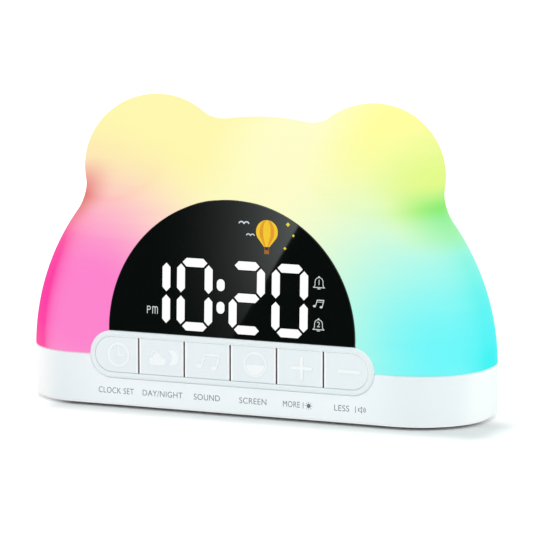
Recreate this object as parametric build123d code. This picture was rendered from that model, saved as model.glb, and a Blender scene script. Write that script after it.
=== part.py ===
from build123d import *
import math
import os

os.makedirs("parts", exist_ok=True)

# Bear-eared alarm clock with a night light in its head. Millimetres, +Z up, front towards -Y.
# The origin is on the table, under the middle of the clock.

# Overall form
clock_width = 165.0          # across the base
clock_depth = 53.8           # front to back at the seam
base_height = 17.3           # white base, without its feet
head_height = 80.1           # from the seam to the crown
rim_flat = 5.8               # level band between the front and rear rounds of the edge
head_lean = 1.7              # how far the head's front and back lean in, degrees
ear_radius = 24.5
ear_turn = 33.0              # from the crown round to an ear, degrees
ear_sink = 7.1               # ear centre inside the head's outline
crease_radius = 12.0         # hollow where an ear meets the head
shade_wall = 2.0
base_wall = 2.0
foot_proud = 1.0             # feet below the base
edge_break = 0.6             # bevel on moulded edges

# Fits
seat_gap = 0.1               # between pieces that are fixed to each other
slide_gap = 0.2              # round a sliding piece
free_gap = 0.3               # between a moving piece and what it passes
screw_gap = 0.05             # round a screw in its hole

# Display window and what stands behind it
window_border = 25.4         # from the top of the window to the crown
window_rise = 9.4            # centre of the window's arch above the seam
window_proud = 0.2
window_bevel = 0.2
gasket_thickness = 0.5
gasket_lap = 2.2             # how far the gasket reaches in from the window's edge
stack_rise = 0.6             # display parts above the keys' tube
film_thickness = 0.25
reflector_depth = 6.5
cell_taper = 5.5             # slope of a light cell's walls, degrees
board_thickness = 1.6
digit_top_room = 20.15       # above the digits, where the picture is
digit_low_room = 1.6         # below the digits
digit_share = 0.5425         # width of a digit over its height
digit_space = 2.25           # between neighbouring digits
colon_shift = -3.65          # the colon stands a little left of the middle
colon_space = 5.8            # between the digits either side of the colon
colon_share = 0.337          # step between the colon's dots over a digit's height
segment_width = 3.1
segment_gap = 1.1
sign_size = 4.6              # square light cells of the bells and the note
sign_space = 4.75            # from the last digit to the middle of the signs
sign_share = 0.2795          # step between signs over a digit's height
diode_length = 1.6
diode_width = 0.8
diode_height = 0.6
bracket_thickness = 2.0
bracket_width = 7.0
bracket_foot = 8.0
bracket_gap = 2.0            # posts between the bracket and the display board
display_screw_inset = 8.3    # from the edge of the window
display_screw_rise = 10.0

# Row of keys
bezel_inset = 30.25          # from the end of the row to the side of the clock
bezel_height = 16.1
bezel_rise = 0.1             # centre of the row above the seam
bezel_rim = 1.75
bezel_proud = 0.5
bezel_skirt = 0.75           # wall of the bezel's tube behind the keys
key_count = 6
key_end_trim = 0.5           # how much shorter the end keys are
key_slit = 0.65
key_proud = 0.3
key_bevel = 0.25
key_flange = 1.0
key_boss_radius = 2.2
key_travel = 0.5
switch_size = 6.0
switch_depth = 3.4
stem_radius = 1.7
stem_reach = 1.1             # how far a stem stands out of its switch
stem_grip = 1.6              # how deep it sits in the switch
carrier_lip = 5.75           # plate beyond each end of the row
carrier_thickness = 1.2
key_board_depth = 8.9        # front of the key board behind the clock's front
key_board_gap = 1.7          # under the key board
key_post_radius = 2.2
key_screw_inset = 4.0

# Base: deck, bottom cover and fastenings
deck_thickness = 2.0
spigot_height = 3.0
spigot_wall = 1.5
cover_thickness = 2.0
case_screw_inset = 10.5      # from the side of the clock
case_screw_setback = 17.9    # from the front and the back
case_boss_radius = 3.2
foot_radius = 4.0
foot_seat = 0.6
foot_inset = 20.0            # from the side of the clock
foot_setback = 11.4          # from the front and the back
screw_radius = 1.2
screw_head_radius = 2.3
screw_head_height = 1.3
screw_bite = 5.0             # thread in its boss

# Battery bay
cell_diameter = 10.5
cell_length = 44.5
cell_count = 3
cell_gap = 0.3
contact_room = 2.4
bay_wall = 1.2
door_tongue = 1.0
door_grooves = 4
contact_thickness = 0.4

# Speaker
speaker_side_room = 5.5      # from the battery bay
speaker_front_room = 3.1     # from the key board
speaker_radius = 14.0
speaker_flange = 1.6
speaker_height = 8.2
magnet_radius = 7.5
magnet_height = 2.4
cone_thickness = 0.4
foam_thickness = 0.6
speaker_fence = 2.0
grille_margin = 3.0
grille_slots = 7
grille_pitch = 3.0
slot_width = 1.5

# Main board and its parts
main_bay_room = 5.15         # from the battery bay
main_end_room = 16.5         # from the side of the clock
main_front_room = 2.8        # from the key board
main_rear_room = 4.9         # from the back of the clock
main_height = 8.0            # underside above the bottom cover's underside
main_post_inset = 3.0
post_radius = 2.4
usb_width = 8.94
usb_height = 3.2
usb_depth = 7.3
usb_shell = 0.3
usb_recess = 0.5             # socket mouth inside the rear wall's face
sound_chip_size = 7.5
control_chip_size = 5.0
chip_height = 1.4
capacitor_radius = 3.0
capacitor_height = 3.6
crystal_radius = 1.0
crystal_length = 6.0

# Night light
lamp_board_length = 118.0
lamp_board_width = 12.0
lamp_board_y = 6.0
lamp_post_height = 2.0
lamp_count = 8
lamp_pitch = 14.6
lamp_size = 5.0
lamp_height = 1.6
lamp_lens = 4.2
lamp_lens_height = 0.4

# Heights and planes that follow
front_y = -clock_depth / 2
edge_radius = (clock_depth - rim_flat) / 2
seam_z = foot_proud + base_height
deck_under = seam_z - deck_thickness
cover_top = foot_proud + cover_thickness
bezel_z = seam_z + bezel_rise
window_z = seam_z + window_rise
window_floor = bezel_z + bezel_height / 2 + seat_gap - window_z
window_radius = head_height - window_rise - window_border
digit_low = window_floor + digit_low_room
digit_height = window_radius - digit_top_room - digit_low
digit_width = digit_height * digit_share
digit_rise = digit_low + digit_height / 2
digit_pitch = digit_width + digit_space
colon_pitch = digit_width + colon_space
bezel_width = clock_width - 2 * bezel_inset
opening_width = bezel_width - 2 * bezel_rim
opening_height = bezel_height - 2 * bezel_rim
bore_width = bezel_width - 2 * bezel_skirt
bore_height = bezel_height - 2 * bezel_skirt
key_pitch = (opening_width + 2 * key_end_trim) / key_count
carrier_width = bezel_width + 2 * carrier_lip
flange_front = front_y + base_wall + slide_gap
switch_front = front_y + key_board_depth - switch_depth
reflector_front = -(shade_wall + gasket_thickness)
reflector_back = reflector_front - reflector_depth
board_back = reflector_back - board_thickness
bay_length = cell_length + 2 * contact_room
bay_width = cell_count * cell_diameter + (cell_count + 1) * cell_gap
bay_back = -front_y - base_wall - seat_gap - bay_wall
bay_y = bay_back - bay_width / 2
cell_z = cover_top + cell_gap + cell_diameter / 2
bay_top = cell_z + cell_diameter / 2 + cell_gap
bay_end = bay_length / 2 + bay_wall
notch_width = carrier_width + 2
notch_back = front_y + key_board_depth + board_thickness + 2 * free_gap
fence_radius = speaker_radius + seat_gap + base_wall / 2
speaker_x = -bay_end - speaker_side_room - speaker_radius
speaker_y = notch_back + speaker_front_room + fence_radius
main_length = clock_width / 2 - main_end_room - bay_end - main_bay_room
main_width = -front_y - main_rear_room - notch_back - main_front_room
main_x = bay_end + main_bay_room + main_length / 2
main_y = notch_back + main_front_room + main_width / 2
lamp_board_z = seam_z + lamp_post_height
lamp_post_x = (lamp_count / 2 - 1) * lamp_pitch
main_z = foot_proud + main_height


def footprint(inset):
    """Plan of the base, its corners rounded as the head's edge is."""
    return RectangleRounded(clock_width - 2 * inset, clock_depth - 2 * inset, edge_radius - inset)


def upright(y, z):
    """Vertical work plane facing the front."""
    return Plane(origin=(0, y, z), x_dir=(1, 0, 0), z_dir=(0, -1, 0))


def window_plane(offset=0.0):
    """Work plane on the leaning front of the head, centred on the window's arch."""
    lean = math.radians(head_lean)
    front = front_y + window_rise * math.tan(lean)
    normal = (0, -math.cos(lean), math.sin(lean))
    origin = (0, front + offset * normal[1], window_z + offset * normal[2])
    return Plane(origin=origin, x_dir=(1, 0, 0), z_dir=normal)


def dee(radius, floor):
    """Disc cut off level below its middle."""
    return Circle(radius) & Pos(0, floor + radius) * Rectangle(2 * radius, 2 * radius)


def block(low, high):
    """Box between two corners."""
    size = [high[i] - low[i] for i in range(3)]
    middle = [(high[i] + low[i]) / 2 for i in range(3)]
    return Pos(*middle) * Box(*size)


def rod(x, y, low, high, radius):
    """Upright cylinder between two heights."""
    return Pos(x, y, low) * Cylinder(radius, high - low, align=(Align.CENTER, Align.CENTER, Align.MIN))


def screw(plane, length):
    """Screw whose round head stands on the plane; its six-edged shank stands for the thread."""
    head = Cylinder(screw_head_radius, screw_head_height, align=(Align.CENTER, Align.CENTER, Align.MIN))
    return plane * (head + extrude(RegularPolygon(screw_radius, 6), -length))


def ear(side, inset):
    """Ball of an ear on its spoke of the arch, its poles and its seam turned into the head."""
    across = math.sin(math.radians(ear_turn))
    up = math.cos(math.radians(ear_turn))
    spoke = 1 / math.hypot(across / (clock_width / 2), up / head_height) - ear_sink
    place = Plane(
        origin=(side * spoke * across, 0, spoke * up),
        x_dir=(-side * across, 0, -up),
        z_dir=(-side * up, 0, across),
    )
    return place * Sphere(ear_radius - inset)


def head_form(inset):
    """Half-round head with its ears, drawn in by an even distance, standing on the seam."""
    half_width = clock_width / 2 - inset
    height = head_height - inset
    half_depth = clock_depth / 2 - inset
    half_top = half_depth - height * math.tan(math.radians(head_lean))
    corners = [(-half_depth, 0), (half_depth, 0), (half_top, height), (-half_top, height)]
    slab = extrude(Plane.YZ * Polygon(*corners, align=None), half_width, both=True)
    arch = Ellipse(half_width, height) - Pos(0, -height) * Rectangle(2 * half_width, 2 * height)
    form = (slab & extrude(Plane.XZ * arch, half_depth, both=True)).solids()[0]
    rims = form.edges().filter_by(GeomType.LINE, reverse=True)
    form = fillet(rims, edge_radius - inset)
    form = form + ear(-1, inset) + ear(1, inset)
    creases = ShapeList()
    for ball in form.faces().filter_by(GeomType.SPHERE):
        creases += ball.edges()
    return fillet(creases, crease_radius + inset)


def make_shade():
    shell = Pos(0, 0, seam_z) * (head_form(0) - head_form(shade_wall))
    window = dee(window_radius + seat_gap, window_floor - 4 * seat_gap)
    shell -= extrude(window_plane() * window, 2 * shade_wall, both=True)
    tab = SlotOverall(bezel_width + 2 * seat_gap, bezel_height + 2 * seat_gap)
    shell -= extrude(upright(front_y, bezel_z) * tab, 2 * shade_wall, both=True)
    return shell.solids().sort_by(SortBy.VOLUME)[-1]


def make_window():
    plane = window_plane(window_proud)
    lens = extrude(plane * dee(window_radius, window_floor), -(shade_wall + window_proud))
    front = lens.faces().sort_by(Axis.Y)[0]
    return chamfer(front.edges(), window_bevel)


def make_gasket():
    outer = dee(window_radius + gasket_lap / 2, window_floor)
    inner = dee(window_radius - gasket_lap, window_floor + gasket_lap)
    return extrude(window_plane(-shade_wall) * (outer - inner), -gasket_thickness)


def make_film():
    shape = dee(window_radius - gasket_lap - seat_gap, window_floor + gasket_lap + seat_gap)
    return extrude(window_plane(reflector_front) * shape, film_thickness)


def bar(length, width):
    """Display segment: a bar with mitred ends."""
    half = length / 2
    tip = width / 2
    lower = [(-half, 0), (tip - half, -tip), (half - tip, -tip)]
    upper = [(half, 0), (half - tip, tip), (tip - half, tip)]
    return Polygon(*lower, *upper, align=None)


def digit_bars(x, columns, rows):
    """Places of a digit's bars, as (x, y, turn)."""
    reach = digit_width / 2 - segment_width / 2
    rise = digit_height / 2 - segment_width / 2
    bars = [(x + side * reach, digit_rise + up * rise / 2, 90) for side in columns for up in (-1, 1)]
    bars += [(x, digit_rise + up * rise, 0) for up in rows]
    return bars


def light_cells():
    """Every light cell behind the window, as (sketch, x, y, turn)."""
    long_bar = (digit_height - segment_width) / 2 - segment_gap
    short_bar = digit_width - segment_width - segment_gap
    first = colon_shift - colon_pitch / 2
    last = colon_shift + colon_pitch / 2
    places = digit_bars(first - digit_pitch, (1,), ())
    for x in (first, last, last + digit_pitch):
        places += digit_bars(x, (-1, 1), (-1, 0, 1))
    cells = []
    for x, y, turn in places:
        length = long_bar if turn else short_bar
        cells.append((bar(length, segment_width), x, y, turn))
    for up in (-1, 1):
        y = digit_rise + up * digit_height * colon_share / 2
        cells.append((Circle(segment_width / 2), colon_shift, y, 0))
    sign_x = last + digit_pitch + digit_width / 2 + sign_space
    for step in (-1, 0, 1):
        y = digit_rise + step * digit_height * sign_share
        cells.append((Rectangle(sign_size, sign_size), sign_x, y, 0))
    return cells


def make_reflector():
    face = window_plane(reflector_front)
    form = extrude(face * dee(window_radius - gasket_lap / 2, window_floor + stack_rise), -reflector_depth)
    for shape, x, y, turn in light_cells():
        form -= face * Pos(x, y) * Rot(0, 0, turn) * extrude(shape, -reflector_depth, taper=cell_taper)
    for x, y in display_screw_places():
        form -= window_plane(reflector_back) * Pos(x, y) * Cylinder(screw_radius + screw_gap, 2 * screw_bite)
    return form


def make_display_diodes():
    plane = window_plane(reflector_back)
    body = Box(diode_length, diode_width, diode_height, align=(Align.CENTER, Align.CENTER, Align.MIN))
    return Compound([plane * Pos(x, y) * Rot(0, 0, turn) * body for shape, x, y, turn in light_cells()])


def display_screw_places():
    half = window_radius - display_screw_inset
    return [(side * half, display_screw_rise) for side in (-1, 1)]


def make_display_board():
    shape = dee(window_radius - gasket_lap, window_floor + 2 * stack_rise)
    form = extrude(window_plane(reflector_back) * shape, -board_thickness)
    for x, y in display_screw_places():
        form -= window_plane(board_back) * Pos(x, y) * Cylinder(screw_radius + screw_gap, 4 * board_thickness)
    return form


def make_display_bracket():
    """Foot on the deck and two uprights that carry the display board on short posts."""
    face = board_back - bracket_gap
    low = seam_z - window_z
    high = display_screw_rise + bracket_width / 2
    upright_shape = Pos(0, (low + high) / 2) * Rectangle(bracket_width, high - low)
    form = None
    for side in (-1, 1):
        x = side * (window_radius - display_screw_inset)
        arm = extrude(window_plane(face) * (Pos(x, 0) * upright_shape), -bracket_thickness)
        form = arm if form is None else form + arm
    rear = window_plane(face - bracket_thickness).origin.Y + low * math.tan(math.radians(head_lean))
    half = window_radius - display_screw_inset + bracket_width / 2
    low = (-half, rear - bracket_thickness, seam_z)
    form += block(low, (half, rear + bracket_foot, seam_z + bracket_thickness))
    form -= block((-half, front_y, 0), (half, 0, seam_z))
    for x, y in display_screw_places():
        form += window_plane(face) * extrude(Pos(x, y) * Circle(post_radius), bracket_gap)
        form -= window_plane(face) * Pos(x, y) * Cylinder(screw_radius + screw_gap, 6 * bracket_gap)
    return form


def make_display_screws():
    plane = window_plane(board_back - bracket_gap - bracket_thickness)
    turned = Plane(origin=plane.origin, x_dir=(-1, 0, 0), z_dir=-plane.z_dir)
    length = bracket_thickness + bracket_gap + board_thickness + screw_bite - free_gap
    steps = [plane.x_dir * x + plane.y_dir * y for x, y in display_screw_places()]
    return Compound([Pos(step) * screw(turned, length) for step in steps])


def make_base():
    tub = extrude(Pos(0, 0, foot_proud) * footprint(0), base_height)
    tub = chamfer(tub.edges().group_by(Axis.Z)[-1] + tub.edges().group_by(Axis.Z)[0], edge_break)
    tub -= extrude(footprint(base_wall), deck_under)
    spigot = footprint(shade_wall + slide_gap) - footprint(shade_wall + slide_gap + spigot_wall)
    tub += extrude(Pos(0, 0, deck_under) * spigot, deck_thickness + spigot_height)
    for x, y in case_screw_places():
        tub += rod(x, y, cover_top, deck_under, case_boss_radius)
        tub -= rod(x, y, 0, cover_top + screw_bite, screw_radius + screw_gap)
    for x, y in main_post_places():
        tub += rod(x, y, main_z + board_thickness, deck_under, post_radius)
        tub -= rod(x, y, 0, deck_under, screw_radius + screw_gap)
    for x in (-lamp_post_x, lamp_post_x):
        tub += rod(x, lamp_board_y, seam_z, lamp_board_z, post_radius)
        tub -= rod(x, lamp_board_y, deck_under, lamp_board_z, screw_radius + screw_gap)
    tab = SlotOverall(bezel_width + 2 * seat_gap, bezel_height + 2 * seat_gap)
    tub -= extrude(upright(front_y, bezel_z) * tab, base_wall + edge_break, both=True)
    low = (-notch_width / 2, front_y + base_wall, cover_top)
    tub -= block(low, (notch_width / 2, notch_back, seam_z + 2 * spigot_height))
    socket = RectangleRounded(usb_width + 2 * seat_gap, usb_height + 2 * seat_gap, usb_height / 2)
    tub -= extrude(upright(-front_y, usb_z()) * (Pos(main_x, 0) * socket), 2 * base_wall, both=True)
    half = bay_length / 2 + door_tongue + seat_gap
    tub -= block((-half, 0, 0), (half, clock_depth, cover_top))
    return tub.solids().sort_by(SortBy.VOLUME)[-1]


def corner_places(inset, setback):
    """The four places at one distance from the sides and from the front and back."""
    x = clock_width / 2 - inset
    y = clock_depth / 2 - setback
    return [(sx * x, sy * y) for sx in (-1, 1) for sy in (-1, 1)]


def case_screw_places():
    return corner_places(case_screw_inset, case_screw_setback)


def foot_places():
    return corner_places(foot_inset, foot_setback)


def usb_z():
    return main_z + board_thickness + usb_height / 2


def main_post_places():
    """Two opposite corners of the main board."""
    half_x = main_length / 2 - main_post_inset
    half_y = main_width / 2 - main_post_inset
    return [(main_x + side * half_x, main_y - side * half_y) for side in (-1, 1)]


def make_cover():
    """Bottom plate with the battery bay, the speaker's fence and the recesses for the feet."""
    plate = extrude(Pos(0, 0, foot_proud) * footprint(base_wall + seat_gap), cover_thickness)
    half = bay_length / 2
    front = bay_y - bay_width / 2
    low = (-half - bay_wall, front - bay_wall, cover_top)
    plate += block(low, (half + bay_wall, bay_back + bay_wall, deck_under - seat_gap))
    plate -= block((-half, front, 0), (half, bay_back, bay_top))
    plate -= block((-half, front, 0), (half, clock_depth, cover_top))
    groove = half + door_tongue
    plate -= block((-groove, front, foot_proud + cover_thickness / 2), (groove, clock_depth, cover_top))
    for x, y in case_screw_places():
        plate -= rod(x, y, 0, foot_proud + screw_head_height + seat_gap, screw_head_radius + seat_gap)
        plate -= rod(x, y, 0, cover_top, screw_radius + screw_gap)
    for x, y in foot_places():
        plate -= rod(x, y, 0, foot_proud + foot_seat, foot_radius + screw_gap)
    fence = Circle(fence_radius) - Circle(speaker_radius + seat_gap)
    plate += extrude(Pos(speaker_x, speaker_y, cover_top) * fence, speaker_fence)
    for step in range(grille_slots):
        offset = (step - (grille_slots - 1) / 2) * grille_pitch
        reach = 2 * math.sqrt((speaker_radius - grille_margin) ** 2 - offset ** 2)
        slot = Pos(speaker_x, speaker_y + offset, 0) * Rectangle(reach, slot_width)
        plate -= extrude(slot, cover_top)
    return plate.solids().sort_by(SortBy.VOLUME)[-1]


def make_door():
    """Battery door: a skin flush with the cover, tongues in its grooves and a lip for a finger nail."""
    front = bay_y - bay_width / 2 + slide_gap
    half = bay_length / 2 - slide_gap
    top = cover_top - slide_gap / 2
    door = block((-half, front, foot_proud), (half, -front_y, top))
    tongue = half + door_tongue
    middle = foot_proud + cover_thickness / 2 + slide_gap / 2
    door += block((-tongue, front, middle), (tongue, -front_y, top))
    door += block((-half, -front_y, foot_proud), (half, -front_y + bezel_proud, top))
    for step in range(door_grooves):
        y = bay_back - 2 * step * slot_width
        door -= block((-half / 3, y, 0), (half / 3, y + slot_width / 2, foot_proud + slide_gap))
    return door


def make_feet():
    return Compound([rod(x, y, 0, foot_proud + foot_seat, foot_radius) for x, y in foot_places()])


def make_case_screws():
    length = cover_thickness - screw_head_height - seat_gap + screw_bite - free_gap
    head_seat = foot_proud + screw_head_height + seat_gap
    turned = Plane(origin=(0, 0, head_seat), x_dir=(-1, 0, 0), z_dir=(0, 0, -1))
    return Compound([Pos(x, y, 0) * screw(turned, length) for x, y in case_screw_places()])


def key_shape(index, width, height, gap):
    """Front outline of one key: its share of the row, the end keys with round ends."""
    middle = (index - (key_count - 1) / 2) * key_pitch
    row = SlotOverall(width - 2 * gap, height - 2 * gap)
    left = middle - (key_pitch - key_slit) / 2
    right = middle + (key_pitch - key_slit) / 2
    if index == 0:
        left = -bezel_width
    if index == key_count - 1:
        right = bezel_width
    column = Pos((left + right) / 2, 0) * Rectangle(right - left, 2 * bezel_height)
    return row & column


def key_x(index):
    return (index - (key_count - 1) / 2) * key_pitch


def make_key(index):
    outline = key_shape(index, opening_width, opening_height, slide_gap)
    pad = extrude(upright(flange_front, bezel_z) * outline, flange_front - front_y + key_proud)
    pad = chamfer(pad.faces().sort_by(Axis.Y)[0].edges(), key_bevel)
    flange = upright(flange_front, bezel_z) * key_shape(index, bore_width, bore_height, free_gap)
    pad += extrude(flange, -key_flange)
    boss_length = switch_front - stem_reach - flange_front
    boss = upright(flange_front, bezel_z) * (Pos(key_x(index), 0) * Circle(key_boss_radius))
    return pad + extrude(boss, -boss_length)


def make_stem(index):
    shape = upright(switch_front - stem_reach, bezel_z) * (Pos(key_x(index), 0) * Circle(stem_radius))
    return extrude(shape, -(stem_reach + stem_grip))


def make_switch_cases():
    cases = []
    plane = upright(switch_front, bezel_z)
    for index in range(key_count):
        case = extrude(plane * (Pos(key_x(index), 0) * Rectangle(switch_size, switch_size)), -switch_depth)
        well = extrude(plane * (Pos(key_x(index), 0) * Circle(stem_radius + screw_gap)),
                       -(stem_grip + key_travel + free_gap))
        cases.append(case - well)
    return Compound(cases)


def make_bezel():
    """Stadium tube with a stepped bore for the keys, on the plate that holds it behind the front."""
    front = front_y - bezel_proud
    length = key_board_depth + bezel_proud
    tube = extrude(upright(front, bezel_z) * SlotOverall(bezel_width, bezel_height), -length)
    tube = chamfer(tube.faces().sort_by(Axis.Y)[0].edges(), bezel_proud)
    plate_front = front_y + base_wall + seat_gap
    low = cover_top + free_gap
    high = deck_under - free_gap
    half = carrier_width / 2
    tube += block((-half, plate_front, low), (half, plate_front + carrier_thickness, high))
    for x in key_screw_places():
        post = upright(plate_front, key_screw_z()) * (Pos(x, 0) * Circle(key_post_radius))
        tube += extrude(post, -(front_y + key_board_depth - plate_front))
    tube -= extrude(upright(front, bezel_z) * SlotOverall(opening_width, opening_height), -length)
    bore_front = flange_front - slide_gap / 2
    tube -= extrude(upright(bore_front, bezel_z) * SlotOverall(bore_width, bore_height), -length)
    for x in key_screw_places():
        hole = Pos(x, 0) * Circle(screw_radius + screw_gap)
        tube -= extrude(upright(front_y + key_board_depth, key_screw_z()) * hole, screw_bite)
    rim = tube.faces().sort_by(Axis.Y)[0]
    inner = rim.inner_wires()[0]
    return chamfer(inner.edges(), bezel_proud / 2)


def key_screw_places():
    half = carrier_width / 2 - key_screw_inset
    return [side * half * share for side in (-1, 1) for share in (1, 0.6)]


def key_screw_z():
    return (cover_top + bezel_z - bezel_height / 2) / 2 + free_gap


def make_key_board():
    top = bezel_z + bezel_height / 2 - bezel_skirt
    low = (-carrier_width / 2, front_y + key_board_depth, cover_top + key_board_gap)
    form = block(low, (carrier_width / 2, front_y + key_board_depth + board_thickness, top))
    for x in key_screw_places():
        hole = Pos(x, 0) * Circle(screw_radius + screw_gap)
        form -= extrude(upright(front_y + key_board_depth, key_screw_z()) * hole, -board_thickness)
    return form


def make_key_screws():
    plane = Plane(
        origin=(0, front_y + key_board_depth + board_thickness, key_screw_z()),
        x_dir=(-1, 0, 0),
        z_dir=(0, 1, 0),
    )
    length = board_thickness + screw_bite - free_gap
    return Compound([Pos(x, 0, 0) * screw(plane, length) for x in key_screw_places()])


def make_cell(index):
    """Dry cell lying along X, with its positive nub at the right."""
    y = bay_y + (index - (cell_count - 1) / 2) * (cell_diameter + cell_gap)
    plane = Plane(origin=(-cell_length / 2, y, cell_z), x_dir=(0, 1, 0), z_dir=(1, 0, 0))
    nub = contact_room / 2
    can = Cylinder(cell_diameter / 2, cell_length - nub, align=(Align.CENTER, Align.CENTER, Align.MIN))
    tip = Cylinder(cell_diameter / 5, cell_length, align=(Align.CENTER, Align.CENTER, Align.MIN))
    return plane * (can + tip)


def make_contact_plates():
    """Flat contacts at the cells' positive ends."""
    plates = []
    for index in range(cell_count):
        y = bay_y + (index - (cell_count - 1) / 2) * (cell_diameter + cell_gap)
        half = cell_diameter * 0.4
        x = bay_length / 2
        plate = block((x - contact_thickness, y - half, cell_z - half), (x, y + half, cell_z + half))
        nub_end = Plane(origin=(cell_length / 2, y, cell_z), x_dir=(0, 1, 0), z_dir=(1, 0, 0))
        bump = nub_end * Rectangle(cell_diameter / 3, cell_diameter / 3)
        plates.append(plate + extrude(bump, contact_room - contact_thickness))
    return Compound(plates)


def make_contact_springs():
    """Bent leaf springs at the cells' negative ends."""
    springs = []
    for index in range(cell_count):
        y = bay_y + (index - (cell_count - 1) / 2) * (cell_diameter + cell_gap)
        half = cell_diameter * 0.4
        reach = contact_room - contact_thickness
        line = Polyline((0, -half), (0, half), (reach, 0), (contact_thickness * 2, -half / 2))
        leaf = Plane.XZ * trace(line, contact_thickness)
        x = -bay_length / 2 + contact_thickness / 2
        springs.append(Pos(x, y + half / 2, cell_z) * extrude(leaf, half))
    return Compound(springs)


def make_speaker_foam():
    ring = Circle(speaker_radius) - Circle(speaker_radius - base_wall)
    return extrude(Pos(speaker_x, speaker_y, cover_top) * ring, foam_thickness)


def make_speaker_frame():
    """Pressed basket: a flat flange with a cone that narrows to the magnet."""
    mouth = speaker_radius - base_wall
    wall = cone_thickness * 2
    profile = [
        (mouth, 0),
        (speaker_radius, 0),
        (speaker_radius, speaker_flange),
        (mouth + wall, speaker_flange),
        (magnet_radius + wall, speaker_height),
        (0, speaker_height),
        (0, speaker_height - wall),
        (magnet_radius, speaker_height - wall),
        (mouth, speaker_flange - wall),
    ]
    shape = Plane.XZ * Polygon(*profile, align=None)
    return Pos(speaker_x, speaker_y, cover_top + foam_thickness) * revolve(shape, Axis.Z)


def make_speaker_cone():
    """Paper cone with its dust cap, hung inside the basket's mouth."""
    mouth = speaker_radius - base_wall - free_gap
    throat = magnet_radius / 2
    drop = speaker_height / 3
    profile = [
        (mouth, 0),
        (mouth, cone_thickness),
        (throat, drop),
        (0, drop),
        (0, drop - cone_thickness),
        (throat, drop - cone_thickness),
    ]
    shape = Plane.XZ * Polygon(*profile, align=None)
    return Pos(speaker_x, speaker_y, cover_top + foam_thickness) * revolve(shape, Axis.Z)


def make_speaker_magnet():
    low = cover_top + foam_thickness + speaker_height
    return rod(speaker_x, speaker_y, low, low + magnet_height, magnet_radius)


def make_main_board():
    half_x = main_length / 2
    half_y = main_width / 2
    board = block((main_x - half_x, main_y - half_y, main_z),
                  (main_x + half_x, main_y + half_y, main_z + board_thickness))
    for x, y in main_post_places():
        board -= rod(x, y, 0, seam_z, screw_radius + screw_gap)
    return board


def make_main_screws():
    plane = Plane(origin=(0, 0, main_z), x_dir=(-1, 0, 0), z_dir=(0, 0, -1))
    length = deck_under - main_z - free_gap
    return Compound([Pos(x, y, 0) * screw(plane, length) for x, y in main_post_places()])


def make_usb_socket():
    """Pressed shell with its tongue, mouth towards the back."""
    plane = upright(-front_y - usb_recess, usb_z())
    outer = Pos(main_x, 0) * RectangleRounded(usb_width, usb_height, usb_height / 2 - usb_shell / 4)
    mouth = Pos(main_x, 0) * RectangleRounded(
        usb_width - 2 * usb_shell, usb_height - 2 * usb_shell, usb_height / 2 - 1.25 * usb_shell)
    tongue = Pos(main_x, 0) * Rectangle(usb_width - 8 * usb_shell, 2 * usb_shell)
    shell = extrude(plane * outer, usb_depth)
    shell -= extrude(plane * mouth, usb_depth - 4 * usb_shell)
    return shell + extrude(plane * tongue, usb_depth - usb_shell)


def chip(x, y, size, top):
    """Square package lying on the main board."""
    form = block((x - size / 2, y - size / 2, top), (x + size / 2, y + size / 2, top + chip_height))
    return chamfer(form.edges().group_by(Axis.Z)[-1], chip_height / 5)


def make_sound_chip():
    return chip(main_x, main_y - main_width / 4, sound_chip_size, main_z + board_thickness)


def make_control_chip():
    x = main_x - main_length / 4
    return chip(x, main_y + main_width / 8, control_chip_size, main_z + board_thickness)


def make_capacitor():
    x = main_x + main_length / 4
    top = main_z + board_thickness
    can = rod(x, main_y - main_width / 8, top, top + capacitor_height, capacitor_radius)
    return chamfer(can.edges().sort_by(Axis.Z)[-1], edge_break)


def make_crystal():
    top = main_z + board_thickness + crystal_radius
    plane = Plane(origin=(main_x + main_length / 4 - crystal_length / 2, main_y + main_width / 5, top),
                  x_dir=(0, 1, 0), z_dir=(1, 0, 0))
    return plane * Cylinder(crystal_radius, crystal_length, align=(Align.CENTER, Align.CENTER, Align.MIN))


def make_lamp_board():
    half_x = lamp_board_length / 2
    half_y = lamp_board_width / 2
    board = block((-half_x, lamp_board_y - half_y, lamp_board_z),
                  (half_x, lamp_board_y + half_y, lamp_board_z + board_thickness))
    for x in (-lamp_post_x, lamp_post_x):
        board -= rod(x, lamp_board_y, 0, 2 * seam_z, screw_radius + screw_gap)
    return board


def make_lamp_screws():
    top = lamp_board_z + board_thickness
    length = top - deck_under - free_gap
    plane = Plane(origin=(0, lamp_board_y, top), x_dir=(1, 0, 0), z_dir=(0, 0, 1))
    return Compound([Pos(side * lamp_post_x, 0, 0) * screw(plane, length) for side in (-1, 1)])


def make_lamps():
    """Square lamp packages with a low lens, in a row on the lamp board."""
    top = lamp_board_z + board_thickness
    lamps = []
    half = lamp_size / 2
    for index in range(lamp_count):
        x = (index - (lamp_count - 1) / 2) * lamp_pitch
        low = (x - half, lamp_board_y - half, top)
        body = block(low, (x + half, lamp_board_y + half, top + lamp_height))
        lens = extrude(Pos(x, lamp_board_y, top + lamp_height) * Rectangle(lamp_lens, lamp_lens), lamp_lens_height)
        lamps.append(body + chamfer(lens.edges().group_by(Axis.Z)[-1], lamp_lens_height / 2))
    return Compound(lamps)


def save(name, shape):
    export_step(shape, os.path.join("parts", name + ".step"))


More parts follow.
